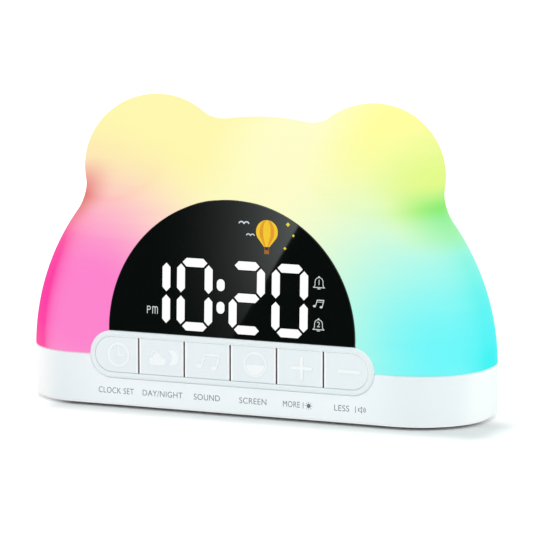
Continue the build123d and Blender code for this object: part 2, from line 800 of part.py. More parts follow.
save("shade", make_shade())
save("display_window", make_window())
save("window_gasket", make_gasket())
save("segment_film", make_film())
save("segment_reflector", make_reflector())
save("display_diodes", make_display_diodes())
save("display_board", make_display_board())
save("display_bracket", make_display_bracket())
save("display_screws", make_display_screws())
save("base_housing", make_base())
save("bottom_cover", make_cover())
save("battery_door", make_door())
save("rubber_feet", make_feet())
save("case_screws", make_case_screws())
save("key_bezel", make_bezel())
save("key_board", make_key_board())
save("key_board_screws", make_key_screws())
save("switch_cases", make_switch_cases())
for number, title in enumerate(("clock", "lamp", "music", "dimmer", "plus", "minus")):
    save("key_" + title, make_key(number))
    save("stem_" + title, make_stem(number))
for number in range(cell_count):
    save("battery_cell_" + str(number + 1), make_cell(number))
save("contact_plates", make_contact_plates())
save("contact_springs", make_contact_springs())
save("speaker_foam", make_speaker_foam())
save("speaker_frame", make_speaker_frame())
save("speaker_cone", make_speaker_cone())
save("speaker_magnet", make_speaker_magnet())
save("main_board", make_main_board())
save("main_board_screws", make_main_screws())
save("usb_socket", make_usb_socket())
save("sound_chip", make_sound_chip())
save("control_chip", make_control_chip())
save("backup_capacitor", make_capacitor())
save("clock_crystal", make_crystal())
save("lamp_board", make_lamp_board())
save("lamp_board_screws", make_lamp_screws())
save("lamps", make_lamps())
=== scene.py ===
import bmesh
import bpy
import math
import numpy as np
from mathutils import Matrix, Vector


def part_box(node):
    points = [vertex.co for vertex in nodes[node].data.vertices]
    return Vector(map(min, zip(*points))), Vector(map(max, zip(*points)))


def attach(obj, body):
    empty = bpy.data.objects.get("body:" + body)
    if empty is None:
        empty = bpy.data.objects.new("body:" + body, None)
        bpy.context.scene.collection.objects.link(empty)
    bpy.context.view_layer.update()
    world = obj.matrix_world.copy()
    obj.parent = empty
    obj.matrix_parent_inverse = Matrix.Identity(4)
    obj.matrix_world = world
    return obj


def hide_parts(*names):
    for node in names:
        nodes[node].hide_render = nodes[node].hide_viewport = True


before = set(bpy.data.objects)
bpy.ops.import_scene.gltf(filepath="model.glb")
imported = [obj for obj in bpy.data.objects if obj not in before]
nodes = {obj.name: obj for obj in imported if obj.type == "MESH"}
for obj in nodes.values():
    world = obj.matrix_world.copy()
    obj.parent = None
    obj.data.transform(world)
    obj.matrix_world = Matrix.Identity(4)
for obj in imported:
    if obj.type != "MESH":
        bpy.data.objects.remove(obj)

scene = bpy.context.scene
mm = 0.001
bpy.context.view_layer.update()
print("frame loaded:", len(nodes), "nodes")


# colours and shader tools

def linear(hexText):
    # each of the three parts of an sRGB colour, as written, made linear light
    parts = [int(hexText[i:i + 2], 16) / 255 for i in (0, 2, 4)]
    return tuple(c / 12.92 if c <= 0.04045 else ((c + 0.055) / 1.055) ** 2.4 for c in parts) + (1.0,)


class Signal:
    # wraps a node's output, so that sums and products are written as plain expressions
    def __init__(self, tree, socket):
        self.tree = tree
        self.socket = socket

    def worked(self, operation, *others, clamp=False):
        maths = self.tree.nodes.new("ShaderNodeMath")
        maths.operation = operation.upper()
        maths.use_clamp = clamp
        for place, item in enumerate((self,) + others):
            feed(self.tree, maths.inputs[place], item)
        return Signal(self.tree, maths.outputs[0])

    def reversedBy(self, operation, other):
        maths = self.tree.nodes.new("ShaderNodeMath")
        maths.operation = operation.upper()
        feed(self.tree, maths.inputs[0], other)
        feed(self.tree, maths.inputs[1], self)
        return Signal(self.tree, maths.outputs[0])

    def __add__(self, other):
        return self.worked("add", other)

    def __radd__(self, other):
        return self.worked("add", other)

    def __sub__(self, other):
        return self.worked("subtract", other)

    def __rsub__(self, other):
        return self.reversedBy("subtract", other)

    def __mul__(self, other):
        return self.worked("multiply", other)

    def __rmul__(self, other):
        return self.worked("multiply", other)

    def __truediv__(self, other):
        return self.worked("divide", other)

    def __abs__(self):
        return self.worked("absolute")

    def between(self, low, high):
        # rises smoothly from 0 at low to 1 at high
        share = ((self - low) / (high - low)).worked("add", 0.0, clamp=True)
        return share * share * (3 - 2 * share)


def feed(tree, socket, item):
    # puts a signal or a plain value on a socket
    if isinstance(item, Signal):
        tree.links.new(item.socket, socket)
    else:
        socket.default_value = item


class Finish:
    # one material: its Principled shader and the nodes that feed it
    def __init__(self, name, **fixed):
        self.material = bpy.data.materials.new(name)
        self.material.use_nodes = True
        self.tree = self.material.node_tree
        self.shader = self.tree.nodes["Principled BSDF"]
        for socket, value in fixed.items():
            self.set(socket, value)

    def set(self, socket, value):
        # socketName becomes Socket Name on the shader
        words = "".join(" " + c if c.isupper() else c for c in socket).strip().title()
        words = words.replace("Ior", "IOR")
        feed(self.tree, self.shader.inputs[words], value)
        return self

    def node(self, kind, settings=None, inputs=None, output=0):
        made = self.tree.nodes.new("ShaderNode" + kind)
        for key, value in (settings or {}).items():
            setattr(made, key, value)
        for key, value in (inputs or {}).items():
            feed(self.tree, made.inputs[key], value)
        return Signal(self.tree, made.outputs[output])

    def objectPlace(self):
        return self.node("TexCoord", output="Object")

    def axes(self):
        # the three object coordinates as signals, in millimetres
        split = self.tree.nodes.new("ShaderNodeSeparateXYZ")
        feed(self.tree, split.inputs[0], self.objectPlace())
        return [Signal(self.tree, split.outputs[i]) * 1000.0 for i in range(3)]

    def attribute(self, name):
        return self.node("Attribute", {"attribute_name": name}, output="Fac")

    def noise(self, size, detail=2.0, roughness=0.5, stretch=None):
        # value noise whose lumps are about size metres across
        place = self.objectPlace()
        if stretch:
            place = self.node("VectorMath", {"operation": "MULTIPLY"}, {0: place, 1: stretch})
        inputs = {"Vector": place, "Scale": 1.0 / size, "Detail": detail, "Roughness": roughness}
        return self.node("TexNoise", {}, inputs)

    def mix(self, share, first, second, kind="MIX"):
        made = self.tree.nodes.new("ShaderNodeMix")
        made.data_type = "RGBA"
        made.blend_type = kind
        feed(self.tree, made.inputs[0], share)
        feed(self.tree, made.inputs[6], first)
        feed(self.tree, made.inputs[7], second)
        return Signal(self.tree, made.outputs[2])

    def bump(self, height, strength, distance):
        inputs = {"Height": height, "Strength": strength, "Distance": distance}
        return self.node("Bump", {}, inputs)

    def scaled(self, colour, share):
        # a colour made stronger or weaker by a signal or a plain value
        return self.node("VectorMath", {"operation": "SCALE"}, {0: colour, "Scale": share})


def paint(finish, *objects):
    for item in objects:
        piece = nodes[item] if isinstance(item, str) else item
        piece.data.materials.clear()
        piece.data.materials.append(finish.material)


def addGrain(made, rough, grain=0.00025, rise=0.000008):
    # the fine grain of moulded plastic in its gloss and surface; gives back a faint cloudiness
    # for its colour
    cloud = made.noise(0.012, 3.0)
    fine = made.noise(grain, 2.0, 0.6)
    made.set("roughness", rough + 0.10 * (fine - 0.5) + 0.06 * (cloud - 0.5))
    made.set("normal", made.bump(fine, 0.35, rise))
    return cloud


def mouldedPlastic(name, tint, shadow, rough=0.35, grain=0.00025, rise=0.000008, **fixed):
    made = Finish(name, **fixed)
    cloud = addGrain(made, rough, grain, rise)
    return made.set("baseColor", made.mix(cloud, linear(tint), linear(shadow)))


# camera, floor and light

cameraView = {
    "azimuth": 24.391,       # degrees round the clock, from straight in front
    "elevation": 8.037,
    "distance": 1.3587,
    "lens": 270.7,           # millimetres, on a 36 mm sensor
    "target": (0.001164, 0.0, 0.047477),
}


def towardsCamera():
    # unit direction from the target to the camera, given by two angles
    a = math.radians(cameraView["azimuth"])
    e = math.radians(cameraView["elevation"])
    return Vector((math.sin(a) * math.cos(e), -math.cos(a) * math.cos(e), math.sin(e)))


def cameraPlace():
    return Vector(cameraView["target"]) + towardsCamera() * cameraView["distance"]


def makeCamera():
    data = bpy.data.cameras.new("camera")
    data.lens = cameraView["lens"]
    data.sensor_width = 36
    data.clip_start = 0.05
    data.clip_end = 60
    camera = bpy.data.objects.new("camera", data)
    scene.collection.objects.link(camera)
    camera.location = cameraPlace()
    camera.rotation_mode = "QUATERNION"
    camera.rotation_quaternion = (-towardsCamera()).to_track_quat("-Z", "Y")
    scene.camera = camera


studio = {
    "world": 0.80,           # plain white surround
    "floorHalf": 6.0,
    "floorTints": ("F4F5F5", "F7F8F8"),
    "shadowTint": "D0D4D4",  # as the camera sees it along the foot of the front
    "shadowStrip": (-60.0, 86.0, -24.0, -10.0),   # left, right, front and back, in millimetres
    "shadowSides": (1.6, 1.3),                    # how much a millimetre to the left and the right count
    "shadowReach": (0.0, 21.0),
    "nearGlow": 0.45,        # light of the floor outside the strip, and what is added far from the clock
    "farGlow": 0.55,
    "farReach": (260.0, 700.0),
    "aim": (0, 0, 0.04),
    "lamps": {               # place, watts, size in metres
        "keyLamp": ((-0.9, -1.3, 1.5), 8.0, 1.2),
        "rightLamp": ((1.7, 0.1, 0.7), 7.0, 1.0),
        "topLamp": ((0.0, 0.1, 1.6), 6.0, 1.4),
    },
}


def makeStudio():
    scene.view_settings.view_transform = "Standard"
    world = bpy.data.worlds.new("surround")
    scene.world = world
    world.use_nodes = True
    tree = world.node_tree
    path = tree.nodes.new("ShaderNodeLightPath")
    seen = Signal(tree, path.outputs["Is Camera Ray"])
    background = tree.nodes["Background"]
    background.inputs["Color"].default_value = (1, 1, 1, 1)
    feed(tree, background.inputs["Strength"], studio["world"] + (1 - studio["world"]) * seen)
    for name, (place, watts, size) in studio["lamps"].items():
        data = bpy.data.lights.new(name, "AREA")
        data.shape = "DISK"
        data.size = size
        data.energy = watts
        lamp = bpy.data.objects.new(name, data)
        scene.collection.objects.link(lamp)
        lamp.location = place
        aim = Vector(studio["aim"]) - Vector(place)
        lamp.rotation_mode = "QUATERNION"
        lamp.rotation_quaternion = aim.to_track_quat("-Z", "Y")


def makeFloor():
    # one square sheet under the feet, made white for the camera by a glow that is held back next to the
    # clock's front and right end, which paints a shadow there on top of the real one
    half = studio["floorHalf"]
    mesh = bpy.data.meshes.new("floor")
    corners = [(-half, -half, 0), (half, -half, 0), (half, half, 0), (-half, half, 0)]
    mesh.from_pydata(corners, [], [(0, 1, 2, 3)])
    floor = bpy.data.objects.new("floor", mesh)
    scene.collection.objects.link(floor)
    finish = Finish("floorPaper", roughness=0.9, specularIorLevel=0.0)
    cloud = finish.noise(0.05, 2.0)
    path = finish.tree.nodes.new("ShaderNodeLightPath")
    seen = Signal(finish.tree, path.outputs["Is Camera Ray"])
    paper = finish.mix(cloud, *[linear(tint) for tint in studio["floorTints"]])
    finish.set("baseColor", finish.mix(seen, paper, linear(studio["shadowTint"])))
    x, y, z = finish.axes()
    # painted shadow: the glow is nil on this strip under the clock and grows with the distance from it
    left, right, front, back = studio["shadowStrip"]
    leftShare, rightShare = studio["shadowSides"]
    besideX = leftShare * (left - x).worked("maximum", 0.0) + rightShare * (x - right).worked("maximum", 0.0)
    besideY = (front - y).worked("maximum", 0.0) + (y - back).worked("maximum", 0.0)
    beside = (besideX * besideX + besideY * besideY).worked("sqrt")
    far = (x * x + y * y).worked("sqrt").between(*studio["farReach"])
    glow = studio["nearGlow"] * beside.between(*studio["shadowReach"]) + studio["farGlow"] * far
    shown = seen * glow
    finish.set("emissionStrength", 1.0)
    finish.set("emissionColor", finish.node("CombineXYZ", {}, {0: shown, 1: shown, 2: shown}))
    paint(finish, floor)


makeCamera()
makeStudio()
makeFloor()
print("camera, floor and light made")


# mesh tools

def meshFrom(name, points, faces):
    mesh = bpy.data.meshes.new(name)
    mesh.from_pydata(np.asarray(points).reshape(-1, 3).tolist(), [], faces)
    mesh.polygons.foreach_set("use_smooth", np.full(len(mesh.polygons), True))
    mesh.update()
    return mesh


def pieceFrom(mesh, body):
    piece = bpy.data.objects.new(mesh.name, mesh)
    scene.collection.objects.link(piece)
    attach(piece, body)
    return piece


def gridFaces(rows, columns, start=0, turned=False):
    # each cell of a grid of points as four corner numbers
    row, column = np.meshgrid(np.arange(rows - 1), np.arange(columns - 1), indexing="ij")
    first = start + row * columns + column
    corners = [first, first + 1, first + columns + 1, first + columns]
    if turned:
        corners.reverse()
    return np.stack(corners, -1).reshape(-1, 4)


def stripFaces(first, second, turned=False):
    # faces between two equal runs of point numbers
    corners = [first[:-1], first[1:], second[1:], second[:-1]]
    if turned:
        corners.reverse()
    return np.stack(corners, -1)


def spread(name, values, mesh):
    # keeps one number for each point of a mesh as an attribute
    layer = mesh.attributes.new(name, "FLOAT", "POINT")
    layer.data.foreach_set("value", np.asarray(values, np.float32).ravel())


# shade

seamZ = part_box("shade")[0].z
shadeForm = {
    "halfWidth": 82.5 * mm,
    "height": 80.1 * mm,
    "halfDepth": 26.9 * mm,
    "edge": 24.0 * mm,
    "lean": math.radians(1.7),
    "earX": 40.13 * mm,
    "earZ": 61.80 * mm,
    "earRadius": 24.5 * mm,
    "crease": 12.0 * mm,
    "creaseFull": 3.0 * mm,      # filled depth at which the crease has its whole painted shade
    "wall": 2.0 * mm,
    "windowRadius": 45.4 * mm,   # opening for the window, with its fit
    "windowRise": 9.4 * mm,
    "tabHalf": 52.35 * mm,       # opening for the row of keys
    "tabRadius": 8.15 * mm,
    "tabRise": 0.1 * mm,
    "columns": 320,
    "outerRows": (10, 100, 26),  # on the front, round the edge and on the back
    "innerRows": (4, 36, 8),
    "pivotInset": 1.5 * mm,      # the fan of rays starts this far inside the middle of the edge's round
    "searchDepth": 60 * mm,
    "halvings": 26,
}


def headDistance(p):
    # depth under the leaning slab and under the elliptic arch, joined by a round of the edge's radius
    f = shadeForm
    x, y, z = p[..., 0], p[..., 1], p[..., 2]
    a, b = f["halfWidth"], f["height"]
    level = np.sqrt((x / a) ** 2 + (z / b) ** 2) + 1e-9
    steep = np.sqrt((x / a ** 2) ** 2 + (z / b ** 2) ** 2) / level + 1e-9
    side = (level - 1) / steep + f["edge"]
    front = (np.abs(y) - f["halfDepth"]) * math.cos(f["lean"]) + z * math.sin(f["lean"]) + f["edge"]
    inner = np.minimum(np.maximum(side, front), 0)
    return inner + np.hypot(np.maximum(side, 0), np.maximum(front, 0)) - f["edge"]


def slopeOf(distance, p):
    # unit direction in which a distance grows, by central differences
    step = 0.05 * mm
    parts = [distance(p + step * axis) - distance(p - step * axis) for axis in np.eye(3)]
    found = np.stack(parts, -1)
    return found / (np.linalg.norm(found, axis=-1, keepdims=True) + 1e-12)


def formDistance(p, withCrease=False):
    # head and ear joined by a ball rolled into the corner between them; the two ears mirror each other
    f = shadeForm
    p = p.copy()
    p[..., 0] = np.abs(p[..., 0])
    toEar = p - np.array([f["earX"], 0, f["earZ"]])
    reach = np.linalg.norm(toEar, axis=-1)
    ball = reach - f["earRadius"]
    head = headDistance(p)
    meet = (slopeOf(headDistance, p) * toEar).sum(-1) / (reach + 1e-9)
    spare = np.maximum(1 - meet ** 2, 1e-4)
    va = f["crease"] - head
    vb = f["crease"] - ball
    inside = (va - meet * vb > 0) & (vb - meet * va > 0) & (va > 0) & (vb > 0)
    rolled = f["crease"] - np.sqrt(np.maximum(va ** 2 + vb ** 2 - 2 * meet * va * vb, 0) / spare)
    plain = np.minimum(head, ball)
    joined = np.where(inside, np.minimum(rolled, plain), plain)
    return (joined, plain) if withCrease else joined


def openingRadius(turn):
    # distance from the middle of the seam to the edge of the opening: the arch, or the round end
    # of the row of keys where that reaches further
    f = shadeForm
    rise = f["windowRise"] * np.sin(turn)
    arch = rise + np.sqrt(f["windowRadius"] ** 2 - (f["windowRise"] * np.cos(turn)) ** 2)
    middle = f["tabHalf"] - f["tabRadius"]
    away = np.abs(np.cos(turn)) * middle + np.sin(turn) * f["tabRise"]
    rest = f["tabRadius"] ** 2 - middle ** 2 - f["tabRise"] ** 2 + away ** 2
    tab = np.where(rest > 0, away + np.sqrt(np.maximum(rest, 0)), 0)
    return np.maximum(arch, tab)


def shadeSurface(inset, frontRows, roundRows, backRows):
    # for each turn round the seam's middle: rays forward from the front face's strip, then a fan of rays
    # over the rounded edge, then rays back from the rear face, each ended where the distance is -inset
    f = shadeForm
    turn = np.linspace(0, math.pi, f["columns"])
    level = 1 / np.sqrt((np.cos(turn) / f["halfWidth"]) ** 2 + (np.sin(turn) / f["height"]) ** 2)
    pivot = level - f["edge"] - f["pivotInset"]
    opening = openingRadius(turn)
    frontShare = np.linspace(0, 1, frontRows, endpoint=False)[:, None]
    fan = np.linspace(-math.pi / 2, math.pi / 2, roundRows)[:, None]
    backShare = np.linspace(0, 1, backRows + 1)[1:, None]
    one = np.ones_like(turn)[None, :]
    start = np.concatenate([
        opening + (pivot - opening) * frontShare,
        pivot * np.ones_like(fan),
        pivot * (1 - backShare) + 0.001 * mm,
    ])
    outward = np.concatenate([0 * frontShare * one, np.cos(fan) * one, 0 * backShare * one])
    across = np.concatenate([-1 + 0 * frontShare * one, np.sin(fan) * one, 1 + 0 * backShare * one])
    radial = np.stack([np.cos(turn), 0 * turn, np.sin(turn)], -1)
    base = start[..., None] * radial
    way = outward[..., None] * radial + across[..., None] * np.array([0, 1.0, 0])
    near = np.zeros(start.shape)
    far = np.full(start.shape, f["searchDepth"])
    for halving in range(f["halvings"]):
        middle = (near + far) / 2
        outside = formDistance(base + middle[..., None] * way) > -inset
        far = np.where(outside, middle, far)
        near = np.where(outside, near, middle)
    return base + near[..., None] * way


def makeShade():
    f = shadeForm
    columns = f["columns"]
    outer = shadeSurface(0.0, *f["outerRows"])
    inner = shadeSurface(f["wall"], *f["innerRows"])
    outerCount = outer.shape[0] * columns
    points = np.concatenate([outer.reshape(-1, 3), inner.reshape(-1, 3)])
    number = np.arange(len(points))
    outerNumber = number[:outerCount].reshape(-1, columns)
    innerNumber = number[outerCount:].reshape(-1, columns)
    faces = [
        gridFaces(outer.shape[0], columns, 0),
        gridFaces(inner.shape[0], columns, outerCount, turned=True),
        stripFaces(outerNumber[0], innerNumber[0], turned=True),
    ]
    for side in (0, -1):     # the rim that stands on the base, right and left
        run = outerNumber[:, side]
        near = innerNumber[:, side]
        pick = np.round(np.linspace(0, len(near) - 1, len(run))).astype(int)
        faces.append(stripFaces(run, near[pick], turned=side == -1))
    quads = np.concatenate(faces).tolist()
    mesh = meshFrom("shadeMoulding", points + np.array([0, 0, seamZ]), quads)
    plain = formDistance(points, withCrease=True)[1]
    slope = slopeOf(formDistance, points)
    # measures for the finish's painted shade: how far the wall turns away from front and back, and how deep
    # each point lies in an ear's crease
    spread("sideways", 1 - np.abs(slope[:, 1]), mesh)
    spread("creaseDepth", np.clip(plain / f["creaseFull"], 0, 1), mesh)
    mesh.validate()
    mesh.set_sharp_from_angle(angle=math.radians(45))
    piece = pieceFrom(mesh, "clock")
    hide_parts("shade")
    return piece


shadeLight = {
    "crown": "FFFECB",                   # warm white light under the crown, yellower in the ears
    "crownMiddle": 17.0,                 # places and reaches are in millimetres
    "crownReach": (4.0, 34.0),
    "earRise": (58.0, 88.0),
    "leftEar": "FFF8B0",
    "rightEar": "FFFFA0",
    "earTurn": (-10.0, 30.0),            # from the one ear's colour to the other's
    "pink": "FF85CF",                    # strip light at the left foot
    "pinkPlace": (54.0, 35.0),
    "pinkReach": (64.0, 10.0),
    "pinkOutward": 0.7,                  # how much a millimetre beyond the strip counts
    "cyan": "70F9FB",                    # strip light at the right foot
    "cyanPlace": (75.0, 25.0),
    "cyanReach": (80.0, 0.0),
    # painted shade under the right ear
    "underEar": "E4FC86",
    "underPlace": (68.0, 78.0),
    "underReach": (24.0, 4.0),
    "leftNook": "EC928C",                # painted shade in the nooks under the ears
    "leftPlace": (64.0, 70.0, 0.45),     # with the slope at which the shading runs uphill and inwards
    "leftFlat": (1.75, -0.05),           # how much more a millimetre upwards and one downwards count
    "leftReach": (22.0, 2.0),
    "rightNook": "8CF086",
    "rightNookFoot": "8CF4B4",
    "rightTurn": (72.0, 65.0),
    "rightPlace": (68.5, 69.8, 0.28),
    "rightFlat": (1.4, 0.3),
    "rightReach": (16.0, 0.0),
    "greenShare": 0.9,
    "leftDepth": (4.1, -0.053),          # painted shade where the wall turns away: at no height, and for each millimetre up
    "leftSlope": (0.02, 0.45),
    "leftSide": (10.0, -20.0),
    "rightDepth": (0.6, 0.3),            # with what is added at the foot
    "rightSlope": (0.25, 1.15),
    "rightSide": (-10.0, 20.0),
    "rightRise": (29.0, 21.0),
    "turnedRise": (80.0, 50.0),
    # painted shade in the creases between the ears and the head
    "creaseShare": 0.6,
    "creaseRise": (88.0, 74.0),
    "streakStretch": (0.25, 0.25, 3.0),
    "streakShift": 4.0,
    "streakGlow": 0.03,
    "glow": 0.88,
    "body": 0.10,
}


def shadeFinish():
    # lit from inside, painted as glow: each light fades with the distance from it; painted shade takes the
    # colour twice where the wall turns away and in the creases, and darker tints paint shade under the ears
    f = shadeLight
    tint = {name: linear(value) for name, value in f.items() if isinstance(value, str)}
    made = Finish("litShade", specularIorLevel=0.0, emissionStrength=1.0)
    x, y, z = made.axes()
    streak = made.noise(0.012, 3.0, 0.6, f["streakStretch"]) - 0.5

    def near(side, place, reach, outward=1.0):
        # 1 at the place and 0 out of reach; on the outer side a distance counts by the share outward
        far, low = place
        beyond = side * x - far
        aside = beyond.worked("minimum", 0.0) + outward * beyond.worked("maximum", 0.0)
        away = (aside * aside + (z - low) * (z - low)).worked("sqrt") + f["streakShift"] * streak
        return away.between(*reach)

    def nook(side, place, flat, reach):
        # as above, for a shading that runs uphill and inwards
        far, low, slope = place
        inward = far - side * x
        rise = z - low - slope * inward
        rise = flat[0] * rise + flat[1] * abs(rise)
        return (inward * inward + rise * rise).worked("sqrt").between(*reach)

    ears = made.mix(x.between(*f["earTurn"]), tint["leftEar"], tint["rightEar"])
    inEars = abs(x - f["crownMiddle"]).between(*f["crownReach"]) * z.between(*f["earRise"])
    green = made.mix(z.between(*f["rightTurn"]), tint["rightNook"], tint["rightNookFoot"])
    colour = made.mix(inEars, tint["crown"], ears)
    for share, other in (
        (near(1, f["cyanPlace"], f["cyanReach"]), tint["cyan"]),
        (near(-1, f["pinkPlace"], f["pinkReach"], f["pinkOutward"]), tint["pink"]),
        (f["greenShare"] * near(1, f["underPlace"], f["underReach"]), tint["underEar"]),
        (f["greenShare"] * nook(1, f["rightPlace"], f["rightFlat"], f["rightReach"]), green),
        (nook(-1, f["leftPlace"], f["leftFlat"], f["leftReach"]), tint["leftNook"]),
    ):
        colour = made.mix(share, colour, other)

    sideways = made.attribute("sideways")
    leftDepth = f["leftDepth"][0] + f["leftDepth"][1] * z
    rightDepth = f["rightDepth"][0] + f["rightDepth"][1] * z.between(*f["rightRise"])
    # painted shade at the turned edges and in the creases: there the colour is multiplied by itself
    turned = leftDepth * sideways.between(*f["leftSlope"]) * x.between(*f["leftSide"])
    turned = turned + rightDepth * sideways.between(*f["rightSlope"]) * x.between(*f["rightSide"])
    paintedCreaseShade = f["creaseShare"] * made.attribute("creaseDepth") * z.between(*f["creaseRise"])
    paintedShadeDepth = (turned * z.between(*f["turnedRise"]) + paintedCreaseShade).worked("minimum", 1.0)
    colour = made.mix(paintedShadeDepth, colour, colour, "MULTIPLY")
    made.set("baseColor", made.scaled(colour, f["body"]))
    made.set("emissionColor", made.scaled(colour, f["glow"] * (1.0 + f["streakGlow"] * streak)))
    made.set("roughness", 0.46 + 0.08 * made.noise(0.0003, 2.0))
    return made


shade = makeShade()
paint(shadeFinish(), shade)
print("shade made:", len(shade.data.polygons), "faces")


# flat pieces: digits, signs and lettering

windowLean = shadeForm["lean"]
windowPlace = Matrix((
    (1, 0, 0, 0),
    (0, math.sin(windowLean), -math.cos(windowLean), 0),
    (0, math.cos(windowLean), math.sin(windowLean), 0),
    (0, 0, 0, 1),
))
windowFront = 0.2 * mm       # the lens stands proud of the shade
windowMiddle = Vector((0, -shadeForm["halfDepth"] + shadeForm["windowRise"] * math.tan(windowLean),
                       seamZ + shadeForm["windowRise"]))
windowNormal = Vector((0, -math.cos(windowLean), math.sin(windowLean)))


def onWindow(lift):
    # a piece drawn flat, put on the leaning lens with its back at the given height above the lens's face
    return Matrix.Translation(windowMiddle + windowNormal * (windowFront + lift)) @ windowPlace


def onFront(y, z):
    # a piece drawn flat, put upright facing the front
    return Matrix(((1, 0, 0, 0), (0, 0, -1, y), (0, 1, 0, z), (0, 0, 0, 1)))


def filledOutline(outlines, thickness, bevel):
    # closed outlines in millimetres filled as a plate, holes where one lies inside another
    curve = bpy.data.curves.new("outline", "CURVE")
    curve.dimensions = "2D"
    curve.fill_mode = "BOTH"
    curve.extrude = thickness / 2 - bevel
    curve.bevel_depth = bevel
    curve.bevel_resolution = 2 if bevel else 0
    curve.offset = -bevel
    for outline in outlines:
        points = np.asarray(outline, float) * mm
        spline = curve.splines.new("POLY")
        spline.points.add(len(points) - 1)
        flat = np.zeros((len(points), 4))
        flat[:, :2] = points
        flat[:, 3] = 1
        spline.points.foreach_set("co", flat.ravel())
        spline.use_cyclic_u = True
    return meshOfCurve(curve)


def meshOfCurve(curve):
    holder = bpy.data.objects.new("outline", curve)
    scene.collection.objects.link(holder)
    bpy.context.view_layer.update()
    mesh = bpy.data.meshes.new_from_object(holder.evaluated_get(bpy.context.evaluated_depsgraph_get()))
    bpy.data.objects.remove(holder)
    bpy.data.curves.remove(curve)
    return mesh


def flatPiece(name, groups, thickness, place, body, bevel=0.0, step=0.0):
    # several filled outlines as one mesh, its back on the place's plane; each lies a step lower
    # than the one before it
    joined = bmesh.new()
    for number, outlines in enumerate(groups):
        part = filledOutline(outlines, thickness, bevel)
        part.transform(Matrix.Translation((0, 0, -step * number)))
        joined.from_mesh(part)
        bpy.data.meshes.remove(part)
    mesh = bpy.data.meshes.new(name)
    joined.to_mesh(mesh)
    joined.free()
    mesh.transform(place @ Matrix.Translation((0, 0, thickness / 2)))
    return pieceFrom(mesh, body)


capitalShare = 0.73          # height of a capital in the plain lettering, for a size of 1


def lettering(name, words, height, middle, thickness, place, thin=0.0, spacing=1.0, narrow=1.0):
    # a line of plain lettering on the clock, centred on a point, thinned by an offset of its outline
    curve = bpy.data.curves.new(name, "FONT")
    curve.body = words
    curve.size = height * mm / capitalShare
    curve.extrude = thickness / 2
    curve.offset = -thin * mm
    curve.space_character = spacing
    curve.align_x = "CENTER"
    curve.align_y = "CENTER"
    mesh = meshOfCurve(curve)
    mesh.name = name
    mesh.transform(Matrix.Diagonal((narrow, 1, 1, 1)))
    mesh.transform(place @ Matrix.Translation((middle[0] * mm, middle[1] * mm, thickness / 2)))
    return pieceFrom(mesh, "clock")


def arc(x, y, radius, start, end, count=24, squash=1.0):
    # points along part of a circle, its turns in degrees
    turn = np.radians(np.linspace(start, end, count))
    return np.stack([x + radius * np.cos(turn), y + squash * radius * np.sin(turn)], -1)


def disc(x, y, radius, count=40, squash=1.0):
    return [arc(x, y, radius, 0, 360 - 360 / count, count, squash)]


def ring(x, y, radius, width):
    # the radius runs to the middle of the ring's width
    return [arc(x, y, radius + width / 2, 0, 352, 45), arc(x, y, radius - width / 2, 0, 352, 45)]


def stroke(path, width):
    # a line of even width along a run of points, with round ends, as one outline
    path = np.asarray(path, float)
    ahead = np.gradient(path, axis=0)
    ahead /= np.linalg.norm(ahead, axis=1, keepdims=True) + 1e-12
    aside = np.stack([-ahead[:, 1], ahead[:, 0]], -1) * width / 2
    lastTurn = math.degrees(math.atan2(ahead[-1, 1], ahead[-1, 0]))
    firstTurn = math.degrees(math.atan2(ahead[0, 1], ahead[0, 0]))
    lastCap = arc(*path[-1], width / 2, lastTurn - 80, lastTurn + 80, 8)
    firstCap = arc(*path[0], width / 2, firstTurn + 100, firstTurn + 260, 8)
    return [np.concatenate([path - aside, lastCap, (path + aside)[::-1], firstCap])]


def bar(x, y, width, height):
    # a plain block, centred on a point
    w, h = width / 2, height / 2
    return [np.array([(x - w, y - h), (x + w, y - h), (x + w, y + h), (x - w, y + h)])]


def placed(groups, x, y, size):
    # outlines drawn at unit size, put at a point
    return [[np.asarray(outline) * size + (x, y) for outline in outlines] for outlines in groups]


def noteSign(x, y, size):
    # two notes under a slanting beam, about one unit wide
    groups = [
        disc(-0.36, -0.25, 0.135, squash=0.72), disc(0.28, -0.30, 0.135, squash=0.72),
        [np.array([(-0.30, -0.25), (-0.225, -0.25), (-0.045, 0.33), (-0.12, 0.33)])],
        [np.array([(0.34, -0.30), (0.415, -0.30), (0.575, 0.33), (0.50, 0.33)])],
        [np.array([(-0.13, 0.25), (0.55, 0.25), (0.57, 0.34), (-0.11, 0.34)])],
        [np.array([(-0.17, 0.11), (0.51, 0.11), (0.525, 0.155), (-0.16, 0.155)])],
    ]
    return placed(groups, x, y, size)


def sunSign(x, y, size, rays=8):
    # a disc with short rays round it
    groups = [disc(0, 0, 0.27)]
    for turn in np.arange(rays) * 2 * math.pi / rays:
        way = np.array([math.cos(turn), math.sin(turn)])
        groups.append(stroke([0.36 * way, 0.42 * way, 0.48 * way], 0.07))
    return placed(groups, x, y, size)


def crescentSign(x, y, size):
    # the bulge to the right
    outer = arc(-0.15, 0, 0.5, -118, 118, 40)
    inner = arc(-0.62, 0, 0.50, 62, -62, 30)
    return placed([[np.concatenate([outer, inner])]], x, y, size)


def cloudSign(x, y, size):
    # three puffs on a flat foot
    groups = [
        disc(-0.27, -0.10, 0.20), disc(-0.02, 0.06, 0.27), disc(0.28, -0.09, 0.21),
        [np.array([(-0.27, -0.30), (0.28, -0.30), (0.28, 0.0), (-0.27, 0.0)])],
    ]
    return placed(groups, x, y, size)


